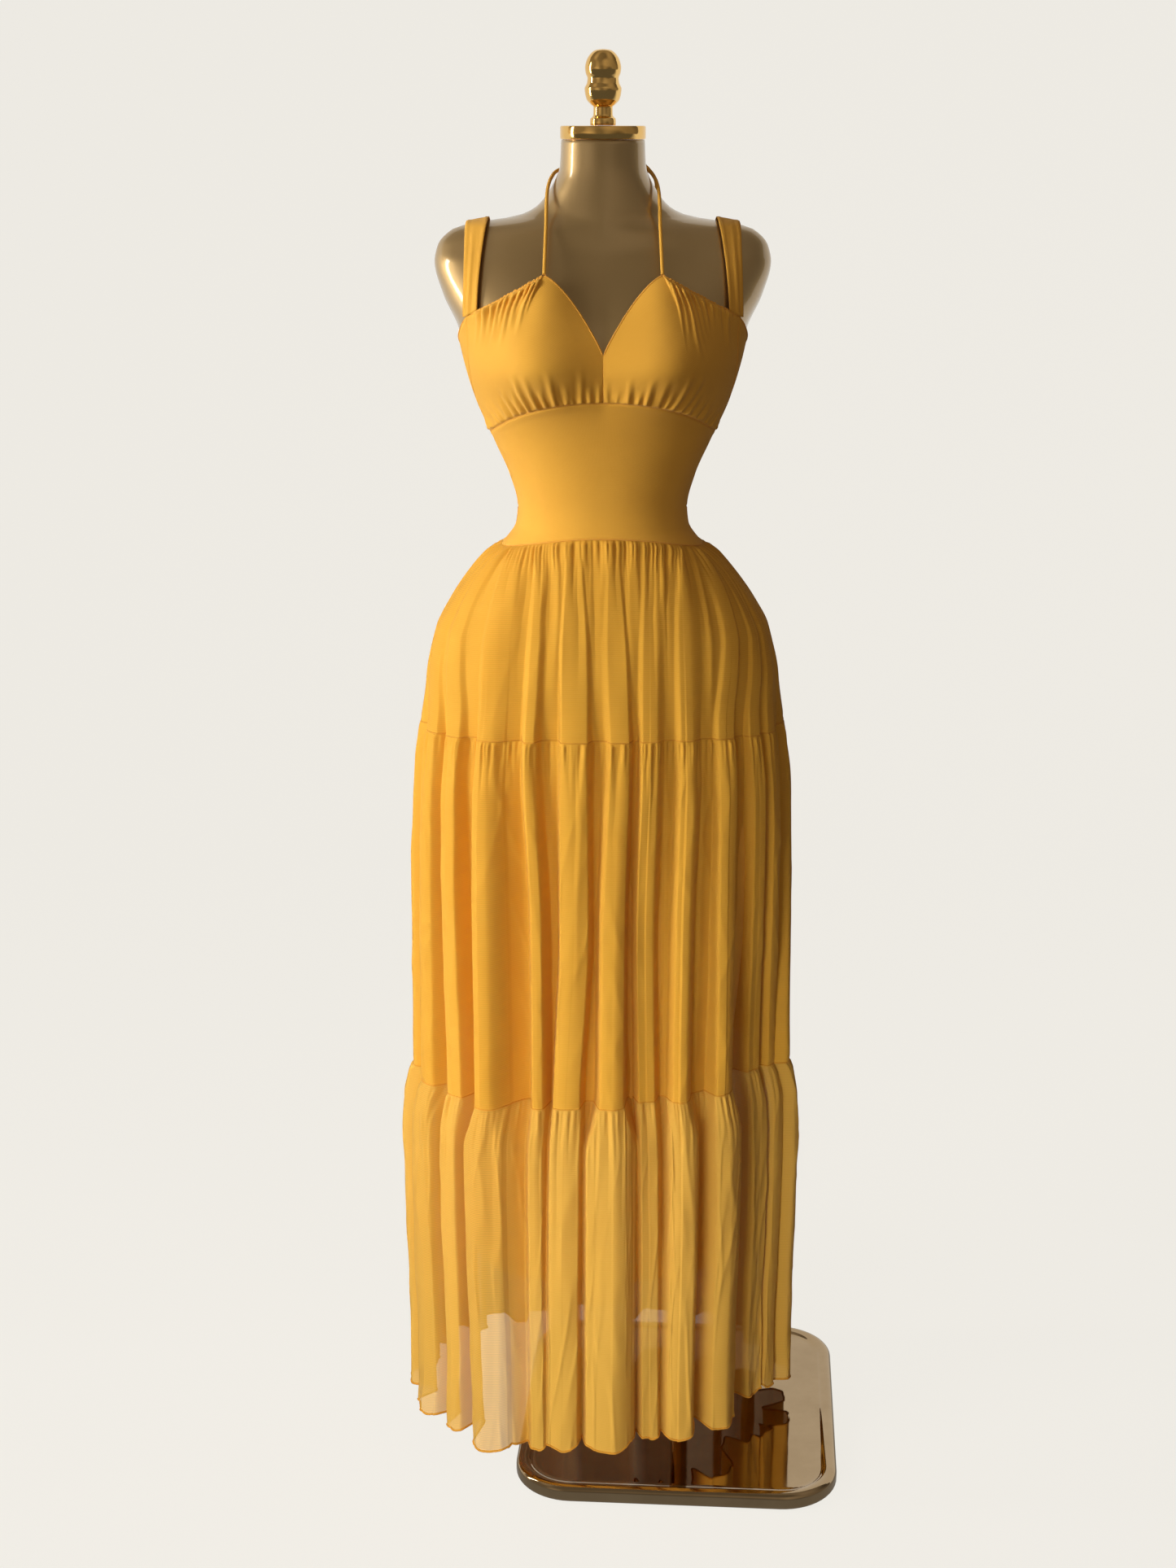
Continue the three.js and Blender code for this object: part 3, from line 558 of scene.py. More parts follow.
# Blender objects from points

def mesh_object(name, points, faces, material):
    mesh = bpy.data.meshes.new(name)
    mesh.from_pydata((np.reshape(points, (-1, 3)) * MM).tolist(), [], faces)
    mesh.shade_smooth()
    mesh.update()
    obj = bpy.data.objects.new(name, mesh)
    bpy.context.scene.collection.objects.link(obj)
    obj.data.materials.append(material)
    return obj


def grid_faces(rows, columns, wrap=False):
    """Faces of a grid of points, seen from outside when rows run down and columns to the right."""
    count = columns if wrap else columns - 1
    r, c = np.meshgrid(np.arange(rows - 1), np.arange(count), indexing="ij")
    nxt = (c + 1) % columns
    corners = [r * columns + c, (r + 1) * columns + c, (r + 1) * columns + nxt, r * columns + nxt]
    return np.stack([k.ravel() for k in corners], axis=1).tolist()


def cloth_places(obj, grid):
    """Stores each point's place in the cloth, in metres: across, down from the top edge."""
    across = np.linalg.norm(np.diff(grid, axis=1), axis=-1).mean(axis=0)
    down = np.linalg.norm(np.diff(grid, axis=0), axis=-1).mean(axis=1)
    u = np.concatenate([[0], np.cumsum(across)]) * MM
    v = np.concatenate([[0], np.cumsum(down)]) * MM
    places = np.zeros(grid.shape)
    places[..., 0] = u[None, :]
    places[..., 1] = v[:, None]
    layer = obj.data.attributes.new("cloth_place", "FLOAT_VECTOR", "POINT")
    layer.data.foreach_set("vector", places.ravel())


def sheet_object(name, grid, material, thickness=0):
    """A sheet of cloth through a grid of points, rows from the top down and columns to the right."""
    obj = mesh_object(name, grid, grid_faces(*grid.shape[:2]), material)
    cloth_places(obj, grid)
    if thickness:
        shell = obj.modifiers.new("thickness", "SOLIDIFY")
        shell.thickness = thickness * MM
        shell.offset = 0
        shell.use_even_offset = False
    return obj


def ring_solid(name, rings, material):
    """A closed solid through rings of points, from the top ring down."""
    rings = np.asarray(rings)
    rows, columns = rings.shape[:2]
    faces = grid_faces(rows, columns, wrap=True)
    top, low = rows * columns, rows * columns + 1
    last = (rows - 1) * columns
    for c in range(columns):
        nxt = (c + 1) % columns
        faces.append([top, c, nxt])
        faces.append([low, last + nxt, last + c])
    points = np.vstack([rings.reshape(-1, 3), rings[0].mean(axis=0), rings[-1].mean(axis=0)])
    return mesh_object(name, points, faces, material)


def turned(name, profile, material, x=0, sides=96):
    """A solid turned round an upright axis. The profile runs from the bottom up."""
    radii, heights = np.array(profile, float).T[:, ::-1]
    turns = np.radians(np.arange(sides) * 360 / sides)
    inner = radii > 0
    rings = [
        np.stack([x + r * np.cos(turns), r * np.sin(turns), np.full(sides, z)], axis=-1)
        for r, z in zip(radii[inner], heights[inner])
    ]
    obj = ring_solid(name, rings, material)
    obj.data.set_sharp_from_angle(angle=math.radians(40))
    return obj


def rope_object(name, route, radius, material, sides=8):
    """A thin round cord of cloth along a line of points: a rolled edge, a seam or a binding."""
    route = np.asarray(route, float)
    from_end = np.minimum(np.arange(len(route)), np.arange(len(route))[::-1])
    radius = np.broadcast_to(radius, len(route)) * mix(0.3, 1, smooth(from_end / 3))
    along = unit(np.gradient(route, axis=0))
    side = unit(np.cross(along, [0, 0, 1.0]))
    over = np.cross(side, along)
    turns = np.radians(np.arange(sides) * 360 / sides)
    rings = [
        route[i] + radius[i] * (np.cos(turns)[:, None] * side[i] + np.sin(turns)[:, None] * over[i])
        for i in range(len(route))
    ]
    return ring_solid(name, rings, material)


def worn(obj, slot, *nodes):
    """The piece rides on the part's one body and stands for nodes; the slot is not used."""
    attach(obj, "root")
    if nodes:
        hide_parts(*nodes)
    return obj


def trimmed(material, slot, edges):
    """A roll of cloth along each edge, given by name, points and radius."""
    return [worn(rope_object(name, row, radius, material), slot) for name, row, radius in edges]


# Materials. Threads are in metres: the columns and rows of knit, and the ribs and threads of mesh.

KNIT = {"across": 0.0011, "down": 0.0014, "relief": 0.0004}
MESH = {"across": 0.0009, "down": 0.0023, "relief": 0.0005}


class Nodes:
    """A node tree, with short ways to add and join its nodes."""

    def __init__(self, tree):
        self.tree = tree

    def node(self, kind, settings=None, **inputs):
        """A new node. An input is named as Blender names it, or i and its number."""
        node = self.tree.nodes.new(kind)
        for name, value in (settings or {}).items():
            setattr(node, name, value)
        for name, value in inputs.items():
            numbered = name[0] == "i" and name[1:].isdigit()
            self.feed(node.inputs[int(name[1:]) if numbered else name], value)
        return node

    def feed(self, socket, value):
        if isinstance(value, bpy.types.NodeSocket):
            self.tree.links.new(value, socket)
        elif isinstance(value, bpy.types.Node):
            self.tree.links.new(value.outputs[0], socket)
        else:
            socket.default_value = value

    def math(self, operation, a, b=0.0):
        return self.node("ShaderNodeMath", {"operation": operation}, i0=a, i1=b).outputs[0]

    def blend(self, a, share, b):
        """A weighed mean: a by its share, and b by the rest."""
        part = self.math("MULTIPLY", a, share)
        return self.math("ADD", part, self.math("MULTIPLY", b, 1 - share))

    def noise(self, vector, scale, detail=2.0, roughness=0.5):
        return self.node(
            "ShaderNodeTexNoise", Vector=vector, Scale=scale, Detail=detail, Roughness=roughness
        ).outputs["Fac"]

    def ramp(self, value, low, high, to_low, to_high):
        return self.node(
            "ShaderNodeMapRange", i0=value, i1=low, i2=high, i3=to_low, i4=to_high
        ).outputs[0]

    def either(self, share, a, b):
        return self.node("ShaderNodeMixShader", i0=share, i1=a, i2=b).outputs[0]


class Look(Nodes):
    """A node material round one shader."""

    def __init__(self, name):
        self.material = bpy.data.materials.new(name)
        self.material.use_nodes = True
        super().__init__(self.material.node_tree)
        self.shader = self.tree.nodes["Principled BSDF"]
        self.output = self.tree.nodes["Material Output"]

    def place(self):
        """The place in the cloth, in metres, and its parts across and down."""
        attribute = self.node("ShaderNodeAttribute", {"attribute_name": "cloth_place"})
        parts = self.node("ShaderNodeSeparateXYZ", Vector=attribute.outputs["Vector"])
        return attribute.outputs["Vector"], parts.outputs["X"], parts.outputs["Y"]

    def mixed(self, share, a, b):
        node = self.node("ShaderNodeMix", {"data_type": "RGBA"})
        self.feed(node.inputs["Factor"], share)
        self.feed(node.inputs["A"], a)
        self.feed(node.inputs["B"], b)
        return node.outputs["Result"]

    def bump(self, height, strength, distance):
        node = self.node("ShaderNodeBump", Height=height, Strength=strength, Distance=distance)
        self.feed(self.shader.inputs["Normal"], node.outputs["Normal"])

    def set(self, **values):
        for name, value in values.items():
            self.feed(self.shader.inputs[name.replace("_", " ")], value)


def ripple(look, place, period, uneven, amount):
    """A wave of threads from 0 to 1 along one direction, its phase pushed about by uneven."""
    turns = look.math("MULTIPLY", place, 2 * math.pi / period)
    pushed = look.math("ADD", turns, look.math("MULTIPLY", uneven, amount))
    return look.ramp(look.math("SINE", pushed), -1, 1, 0, 1)


def jersey_look(name, bright, dark):
    """Matte stretch jersey: fine columns of knit with a soft nap."""
    look = Look(name)
    place, across, down = look.place()
    uneven = look.noise(place, 60, 3)
    columns = ripple(look, across, KNIT["across"], uneven, 5)
    rows = ripple(look, down, KNIT["down"], uneven, 4)
    knit = look.math("MULTIPLY", columns, rows)
    cloudy = look.noise(place, 14, 4, 0.6)
    shade = look.blend(knit, 0.25, cloudy)
    look.set(Base_Color=look.mixed(look.ramp(shade, 0.25, 0.75, 0, 1), dark, bright))
    look.set(Roughness=look.ramp(cloudy, 0, 1, 0.8, 0.95))
    look.bump(knit, 0.25, KNIT["relief"])
    look.set(Sheen_Weight=0.25, Sheen_Roughness=0.5, Sheen_Tint=(1.0, 0.82, 0.5, 1))
    look.set(Specular_IOR_Level=0.25)
    return look.material


def mesh_look(name, bright, dark, through, least_open, most_open, glow):
    """Fine soft mesh: level ribs of thread, a little light through it and tiny open holes. Glow is
    the share of light that it passes on, and the open shares are for double and for single cloth."""
    look = Look(name)
    place, across, down = look.place()
    uneven = look.noise(place, 25, 3)
    ribs = ripple(look, down, MESH["down"], uneven, 7)
    threads = ripple(look, across, MESH["across"], uneven, 9)
    cloudy = look.noise(place, 9, 5, 0.6)
    weave = look.blend(ribs, 0.7, threads)
    shade = look.blend(weave, 0.3, cloudy)
    look.set(Base_Color=look.mixed(look.ramp(shade, 0.25, 0.75, 0, 1), dark, bright))
    look.set(Roughness=look.ramp(weave, 0, 1, 0.75, 0.9))
    look.bump(weave, 0.35, MESH["relief"])
    look.set(Sheen_Weight=0.15, Sheen_Roughness=0.45, Sheen_Tint=(1.0, 0.84, 0.55, 1))
    look.set(Specular_IOR_Level=0.2)
    lit = look.node("ShaderNodeBsdfTranslucent", Color=through)
    open_gap = look.node("ShaderNodeBsdfTransparent")
    woven = look.either(glow, look.shader, lit)
    sheer = look.node("ShaderNodeAttribute", {"attribute_name": "cloth_sheer"}).outputs["Fac"]
    open_share = look.ramp(sheer, 0, 1, least_open, most_open)
    gaps = look.math("MULTIPLY", open_share, look.ramp(weave, 0.1, 0.9, 1.4, 0.6))
    look.feed(look.output.inputs["Surface"], look.either(gaps, woven, open_gap))
    return look.material


def paint_look():
    """Glossy metallic bronze paint, a little cloudy."""
    look = Look("form_paint")
    place = look.node("ShaderNodeTexCoord").outputs["Object"]
    flake = look.noise(place, 900, 2)
    cloudy = look.noise(place, 7, 3)
    shade = look.blend(flake, 0.3, cloudy)
    look.set(Base_Color=look.mixed(shade, (0.40, 0.264, 0.108, 1), (0.50, 0.338, 0.144, 1)))
    look.set(Metallic=0.8, Roughness=look.ramp(cloudy, 0.2, 0.8, 0.34, 0.44))
    look.bump(cloudy, 0.03, 0.001)
    look.set(Coat_Weight=1.0, Coat_Roughness=0.04)
    return look.material


def metal_look(name, colour, dark, roughness):
    """Polished plated metal with faint smears."""
    look = Look(name)
    place = look.node("ShaderNodeTexCoord").outputs["Object"]
    smears = look.noise(place, 18, 4, 0.65)
    look.set(Base_Color=look.mixed(look.ramp(smears, 0.3, 0.7, 0, 1), dark, colour))
    look.set(Metallic=1.0, Roughness=look.ramp(smears, 0.3, 0.7, roughness * 0.7, roughness * 1.6))
    look.bump(smears, 0.015, 0.001)
    return look.material


def stage_look():
    """Matte pale floor and backdrop. It looks even, with soft shade where things stand on it. In
    polished metal it is pale behind the figure and dim in front, and it throws little light."""
    look = Look("pale_stage")
    place = look.node("ShaderNodeTexCoord").outputs["Object"]
    grain = look.noise(place, 3, 2)
    look.set(Base_Color=look.mixed(grain, (0.06, 0.058, 0.055, 1), (0.075, 0.073, 0.07, 1)))
    look.set(Roughness=0.9, Specular_IOR_Level=0)
    even = look.node("ShaderNodeEmission", Color=PALE, Strength=STAGE["glow"])
    soft = look.node("ShaderNodeAddShader", i0=look.shader, i1=even)
    path = look.node("ShaderNodeLightPath").outputs
    dim = look.node("ShaderNodeBsdfDiffuse", Color=STAGE["bounce"])
    along = look.node("ShaderNodeSeparateXYZ", Vector=place).outputs["Y"]
    strength = look.ramp(along, *STAGE["dim_to_pale"], *STAGE["mirrored"])
    behind = look.node("ShaderNodeEmission", Color=PALE, Strength=strength)
    mirrored = look.either(path["Is Glossy Ray"], dim, behind)
    look.feed(look.output.inputs["Surface"], look.either(path["Is Camera Ray"], mirrored, soft))
    return look.material


def make_materials():
    return {
        "jersey": jersey_look("jersey", (0.83, 0.440, 0.060, 1), (0.77, 0.394, 0.049, 1)),
        "edging": jersey_look("jersey_edging", (0.80, 0.39, 0.056, 1), (0.70, 0.33, 0.044, 1)),
        "lining": jersey_look("lining_cloth", (0.88, 0.48, 0.075, 1), (0.80, 0.42, 0.058, 1)),
        "mesh": mesh_look(
            "soft_mesh", (0.86, 0.473, 0.060, 1), (0.80, 0.422, 0.048, 1),
            through=(0.90, 0.54, 0.056, 1), least_open=0.0, most_open=0.10, glow=0.19,
        ),
        "sheer": mesh_look(
            "sheer_mesh", (0.86, 0.515, 0.092, 1), (0.80, 0.465, 0.076, 1),
            through=(0.90, 0.56, 0.085, 1), least_open=0.0, most_open=0.22, glow=0.21,
        ),
        "hem": mesh_look(
            "mesh_hem", (0.80, 0.40, 0.050, 1), (0.70, 0.33, 0.038, 1),
            through=(0.85, 0.42, 0.030, 1), least_open=0.02, most_open=0.02, glow=0.15,
        ),
        "paint": paint_look(),
        "gold": metal_look("gold_plate", (0.95, 0.62, 0.22, 1), (0.84, 0.50, 0.15, 1), 0.09),
        "bronze": metal_look("bronze_mirror", (0.46, 0.335, 0.20, 1), (0.40, 0.285, 0.165, 1), 0.05),
    }


# Camera, light and floor

CAMERA = {"x": -0.0166, "y": -2.71, "z": 1.60, "tilt": 74.34, "lens": 54.18, "sensor": 36}
DAY = (1.0, 0.975, 0.94)
WARM = (1.0, 0.94, 0.87)
# Each soft box: azimuth, elevation and distance from the height that it aims at, then its size and
# its power. The window also shows in gloss. The others light the chest, bodice, skirt and the whole.
LIGHTS = (
    ("window", -92, 6, 2.6, 1.4, (0.32, 2.0), 19, {"mirrored": True}),
    ("window_sun", -91, 6, 2.6, 1.4, (0.10, 1.7), 8, {"mirrored": True}),
    ("lamp", -32, 52, 2.4, 1.4, (0.25, 0.25), 2, {}),
    ("key_high", -60, 12, 2.6, 1.1, (1.0, 1.4), 8.0, {"spread": 58}),
    ("key_low", -22, 8, 2.5, 0.1, (1.3, 1.0), 4.6, {"spread": 50}),
    ("fill_front", 14, 10, 3.6, 0.85, (2.6, 2.2), 7.6, {"colour": WARM}),
)
PALE = (0.871, 0.847, 0.791, 1)
# The room's colours and strengths where it lights cloth and where gloss mirrors it. Its mirrored
# side has patches, noise between two levels, and grows dimmer from left to right.
ROOM = {
    "even": (0.37, 0.275, 0.22, 1), "even_strength": 0.5, "mirrored": (0.34, 0.29, 0.22, 1),
    "patch_scale": 1.2, "patch_noise": (0.38, 0.62), "patch_levels": (0.5, 1.4),
    "left_to_right": (1.5, 0.45),
}
# The floor runs from near to far and curves up to top by a radius, in millimetres. Its glow is what
# the camera sees, its bounce lights the skirt, and gloss mirrors it from dim to pale along y in metres.
STAGE = {
    "near": -9000, "far": 4200, "radius": 1800, "top": 7000, "half_width": 12000,
    "glow": 0.96, "bounce": (0.22, 0.19, 0.155, 1),
    "dim_to_pale": (-0.6, 1.2), "mirrored": (0.12, 0.95),
}


def make_camera():
    data = bpy.data.cameras.new("view")
    data.lens = CAMERA["lens"]
    data.sensor_width = CAMERA["sensor"]
    obj = bpy.data.objects.new("view", data)
    obj.location = (CAMERA["x"], CAMERA["y"], CAMERA["z"])
    obj.rotation_euler = (math.radians(CAMERA["tilt"]), 0, 0)
    bpy.context.scene.collection.objects.link(obj)
    bpy.context.scene.camera = obj


def area_light(
    name, azimuth, elevation, distance, height, size, power, colour=DAY, mirrored=False, spread=180
):
    """A soft box. Azimuth 0 is in front and 90 at the right of the figure."""
    data = bpy.data.lights.new(name, "AREA")
    data.shape = "RECTANGLE"
    data.size, data.size_y = size
    data.energy = power
    data.spread = math.radians(spread)
    data.color = colour
    obj = bpy.data.objects.new(name, data)
    turn, rise = math.radians(azimuth), math.radians(elevation)
    level = distance * math.cos(rise)
    obj.location = (
        level * math.sin(turn), -level * math.cos(turn), height + distance * math.sin(rise)
    )
    obj.rotation_euler = (math.radians(90) - rise, 0, turn)
    obj.visible_glossy = mirrored
    bpy.context.scene.collection.objects.link(obj)


def make_world():
    """A room that is even to cloth, uneven where gloss mirrors it and pale where the camera sees it."""
    world = bpy.data.worlds.new("studio")
    world.use_nodes = True
    room = Nodes(world.node_tree)
    even = room.tree.nodes["Background"]
    room.feed(even.inputs["Color"], ROOM["even"])
    room.feed(even.inputs["Strength"], ROOM["even_strength"])
    direction = room.node("ShaderNodeTexCoord").outputs["Generated"]
    patches = room.noise(direction, ROOM["patch_scale"], 0)
    levels = room.ramp(patches, *ROOM["patch_noise"], *ROOM["patch_levels"])
    sideways = room.node("ShaderNodeSeparateXYZ", Vector=direction).outputs["X"]
    falling = room.ramp(sideways, -1, 1, *ROOM["left_to_right"])
    strength = room.math("MULTIPLY", levels, falling)
    uneven = room.node("ShaderNodeBackground", Color=ROOM["mirrored"], Strength=strength)
    pale = room.node("ShaderNodeBackground", Color=PALE)
    path = room.node("ShaderNodeLightPath").outputs
    unseen = room.either(path["Is Glossy Ray"], even, uneven)
    seen = room.either(path["Is Camera Ray"], unseen, pale)
    room.feed(room.tree.nodes["World Output"].inputs["Surface"], seen)
    bpy.context.scene.world = world


def make_light():
    for *place, manner in LIGHTS:
        area_light(*place, **manner)
    make_world()
    bpy.context.scene.view_settings.view_transform = "Standard"


def make_stage():
    """A floor that curves up into a backdrop behind, far enough for every view."""
    far, radius = STAGE["far"], STAGE["radius"]
    turns = np.radians(np.linspace(-90, 0, 16))
    curve_y = far - radius + radius * np.cos(turns)
    curve_z = radius + radius * np.sin(turns)
    ys = np.concatenate([[STAGE["near"]], curve_y, [far]])
    zs = np.concatenate([[0], curve_z, [STAGE["top"]]])
    sides = (-STAGE["half_width"], STAGE["half_width"])
    grid = np.stack([np.stack([np.full(len(ys), float(x)), ys, zs], axis=-1) for x in sides], axis=1)
    mesh_object("stage_floor", grid, grid_faces(len(ys), 2), stage_look())


# Cords

def cord_curve(name, route, material):
    """A round tie along a smooth curve through its route's points."""
    data = bpy.data.curves.new(name, "CURVE")
    data.dimensions = "3D"
    data.bevel_depth = TIE_DIAMETER / 2 * MM
    data.bevel_resolution = 4
    data.use_fill_caps = True
    spline = data.splines.new("BEZIER")
    spline.bezier_points.add(len(route) - 1)
    for point, place in zip(spline.bezier_points, route):
        point.co = [value * MM for value in place]
        point.handle_left_type = point.handle_right_type = "AUTO"
    spline.resolution_u = 8
    obj = bpy.data.objects.new(name, data)
    bpy.context.scene.collection.objects.link(obj)
    data.materials.append(material)
    return obj


def curve_length(obj):
    """Length of a cord's own line, in metres."""
    points = []
    data = obj.data.splines[0]
    for a, b in zip(data.bezier_points[:-1], data.bezier_points[1:]):
        points += interpolate_bezier(a.co, a.handle_right, b.handle_left, b.co, 9)
    return sum((q - p).length for p, q in zip(points[:-1], points[1:]))


def make_knot(material):
    """Two loops of cord drawn over each other, as one small closed form."""
    turns, rises = 40, 24
    around = np.radians(np.arange(turns) * 360 / turns)
    rings = []
    for r in range(1, rises):
        polar = math.pi * r / rises
        swell = 1 - KNOT["grooves"] * np.abs(np.sin(2 * around + 2.2 * polar)) ** 3
        rings.append(np.stack([
            KNOT["x"] + KNOT["wide"] * np.sin(polar) * np.cos(around) * swell,
            KNOT["y"] + KNOT["deep"] * np.sin(polar) * np.sin(around) * swell,
            KNOT["z"] + KNOT["tall"] * np.cos(polar) * swell,
        ], axis=-1))
    return worn(ring_solid("halter_knot_fine", rings, material), "cloth_jersey", "halter_knot")


def make_cords(looks):
    """Both ties from the cups' tips to the knot, and the knot's two free ends."""
    knot = make_knot(looks["jersey"])
    mirrored = [(-x, y, z) for x, y, z in TIE_ROUTE]
    routes = (
        ("halter_tie_right", TIE_ROUTE, "knot", "taut", [knot]),
        ("halter_tie_left", mirrored, "object", "taut", []),
        ("tie_tail_right", RIGHT_TAIL_ROUTE, "bare", "hanging", []),
        ("tie_tail_left", LEFT_TAIL_ROUTE, "bare", "hanging", []),
    )
    for node, route, end, lay, others in routes:
        cord = worn(cord_curve(f"{node}_cord", route, looks["jersey"]), "cloth_jersey", node)
        curve_length(cord)


# Dress form and stand

def make_form(looks):
    """The limbless form with the cap and the turned knob on its neck."""
    angles = np.linspace(-180, 180, 144, endpoint=False)
    # Rows are closer together where the form rounds in to its foot
    rounded = (np.linspace(732, 723, 4), np.linspace(722.2, FORM_BOTTOM, 3))
    heights = np.concatenate([np.arange(NECK_TOP, 736, -4), *rounded])
    rings = figure_point(angles[None, :], heights[:, None])
    worn(ring_solid("form_torso_fine", rings, looks["paint"]), "form_paint", "form_torso")
    worn(turned("neck_cap_fine", CAP_PROFILE, looks["gold"]), "gold_metal", "neck_cap")
    steps = np.linspace(0, FINIAL_PROFILE.count - 1, 115)
    profile = np.stack([FINIAL_PROFILE.at(steps, "r"), FINIAL_PROFILE.at(steps, "z")], axis=-1)
    profile[0, 0] = profile[-1, 0] = 0
    worn(turned("finial_fine", profile, looks["gold"]), "gold_metal", "finial")


def rounded_plate(level):
    """One ring of the base plate's outline, drawn in by the level's inset."""
    sides = 14
    radius = BASE["corner"] - level["inset"]
    points = []
    for sx, sy, start in ((1, 1, 0), (-1, 1, 90), (-1, -1, 180), (1, -1, 270)):
        for turn in np.radians(np.linspace(start, start + 90, sides)):
            points.append((
                sx * (BASE["width"] / 2 - BASE["corner"]) + radius * math.cos(turn),
                sy * (BASE["depth"] / 2 - BASE["corner"]) + radius * math.sin(turn),
                level["z"],
            ))
    ring = np.array(points)
    turn = math.radians(BASE["turn"])
    x = POLE_X + ring[:, 0] * math.cos(turn) - ring[:, 1] * math.sin(turn)
    y = ring[:, 0] * math.sin(turn) + ring[:, 1] * math.cos(turn) - BASE["forward"]
    return np.stack([x, y, ring[:, 2]], axis=-1)


def make_stand(looks):
    """The plate and the three tubes that stand on it, up to the form's foot."""
    steps = np.linspace(BASE_EDGE.count - 1, 0, 43)
    levels = [{"inset": BASE_EDGE.at(s, "inset"), "z": BASE_EDGE.at(s, "z")} for s in steps]
    flat_top = [{"inset": inset, "z": BASE["top"]} for inset in (60, 24)]
    levels = flat_top + levels
    plate = ring_solid("base_plate_fine", [rounded_plate(level) for level in levels], looks["bronze"])
    plate.data.set_sharp_from_angle(angle=math.radians(35))
    worn(plate, "bronze_metal", "base_plate")
    flange_low = BASE["top"] + SEAM_GAP
    flange_top = flange_low + FLANGE["height"]
    socket_top = FORM_BOTTOM - SEAM_GAP
    socket_low = socket_top - SOCKET["height"]
    tubes = (
        ("pole_flange", FLANGE["diameter"], flange_low, flange_top),
        ("pole", POLE_DIAMETER, flange_top + SEAM_GAP, socket_low - SEAM_GAP),
        ("pole_socket", SOCKET["diameter"], socket_low, socket_top),
    )
    for node, diameter, low, top in tubes:
        r = diameter / 2
        inner = r - TUBE_BEVEL
        side = ((r, low + TUBE_BEVEL), (r, top - TUBE_BEVEL))
        profile = ((0, low), (inner, low), *side, (inner, top), (0, top))
        tube = turned(f"{node}_fine", profile, looks["bronze"], x=POLE_X, sides=64)
        worn(tube, "bronze_metal", node)


# Bodice

def angle_at(x, z):
    """Angle at which the form's section reaches a sideways distance."""
    share = np.clip(np.abs(x) / FIGURE.at(z, "half"), 0, 1)
    return np.degrees(np.arcsin(share ** (FIGURE.at(z, "power") / 2)))


def cup_top(share):
    """Sideways distance and height of the cup's upper edge, from centre front round to its corner."""
    along = np.clip(share / NECKLINE_SHARE, 0, 1)
    rise = 1 - (1 - along) ** NECKLINE_BEND
    beyond = np.clip((share - NECKLINE_SHARE) / (1 - NECKLINE_SHARE), 0, 1)
    neck = share <= NECKLINE_SHARE
    x = np.where(neck, CUP_TIP["x"] * along, mix(CUP_TIP["x"], CUP_CORNER["x"], beyond))
    up_the_neck = mix(NECKLINE_LOW, CUP_TIP["z"], rise)
    return x, np.where(neck, up_the_neck, mix(CUP_TIP["z"], CUP_CORNER["z"], beyond))


def tip_standoff(x, z):
    """How far the tie pulls the cup forward near its tip."""
    across = (np.abs(x) - CUP_TIP["x"]) / TIP_STANDOFF["width"]
    risen = smooth((z - TIP_STANDOFF["from"]) / TIP_STANDOFF["over"])
    return TIP_STANDOFF["out"] * risen * np.exp(-across * across)


def gathers(rows, share, run):
    """Uneven ridges that start at an edge and die out at their reach, as share and run grow."""
    total = 0
    for row in map(rows.row, range(rows.count)):
        reach = row["reach"]
        centre = row["share"] + row["lean"] * run
        width = row["width"] * (1 + GATHER_SHAPE["widening"] * run / reach)
        height = row["height"] * smooth(run / 0.03) * (1 - smooth(run / reach)) ** 0.7
        valley = centre + width * GATHER_SHAPE["valley_at"]
        total = total + height * np.exp(-((share - centre) / width) ** 2)
        height = height * GATHER_SHAPE["valley_depth"]
        total = total - height * np.exp(-((share - valley) / width) ** 2)
    return total


def edge_gathers(place, run, seed):
    """Fine gathers of three sizes that start at a cup's edge and die out over their own lengths."""
    total = 0
    for i in range(EDGE_GATHERS.count):
        row = EDGE_GATHERS.row(i)
        ridges = comb(place, row["spacing"], seed + 10 * i)
        fade = smooth(run * CUP_TALL / 2) * (1 - smooth(run * CUP_TALL / row["length"]))
        total = total + row["height"] * ridges * fade
    return total


def cup_grid(side, columns=210, rows=110):
    """One cup from its upper edge down to the underbust seam, with the gathers along both."""
    share = np.linspace(0, 1, columns + 1)[None, :]
    steps = np.linspace(0, 1, rows + 1)[:, None]
    run = mix(steps, smooth(steps), 0.35)
    up = 1 - run
    top_x, top_z = cup_top(share)
    top_angle = mix(angle_at(top_x, top_z), CUP_CORNER["angle"], smooth((share - 0.97) / 0.03))
    low_angle = BODICE_SEAM_ANGLE * share
    angle = mix(low_angle, top_angle, up)
    z = mix(SEAMS["underbust"](low_angle) + SEAM_GAP, top_z, up)
    around = CUP_GIRTH * share
    fan = around / (1 + 1.3 * up)
    raised = gathers(CUP_GATHERS[side], share, up) + edge_gathers(fan, up, SEED + side)
    drawn = gathers(CUP_DRAWS[side], share, run)
    drawn = drawn + edge_gathers(around + 0 * run, run, SEED + 5 + side)
    casing = CASING["height"] * np.exp(-((run - CASING["down"]) / CASING["width"]) ** 2)
    past_tip = smooth((share - NECKLINE_SHARE) / 0.03)
    calm_corner = 1 - 0.8 * smooth((share - 0.9) / 0.1)
    raised = (raised + (drawn + casing) * past_tip) * calm_corner
    pucker = comb(around, EDGE_GATHERS["spacing"][0], SEED + 5 + side) - 0.5
    edge_drop = CUP_PUCKER * pucker * past_tip * (1 - smooth(run / 0.1))
    point = level_offset(figure_point, angle, z + edge_drop, BODICE_EASE + raised)
    point[..., 1] -= tip_standoff(point[..., 0], z)
    point[..., 0] = np.maximum(point[..., 0], 0)
    if side < 0:
        point = point[:, ::-1]
        point[..., 0] *= -1
    return point


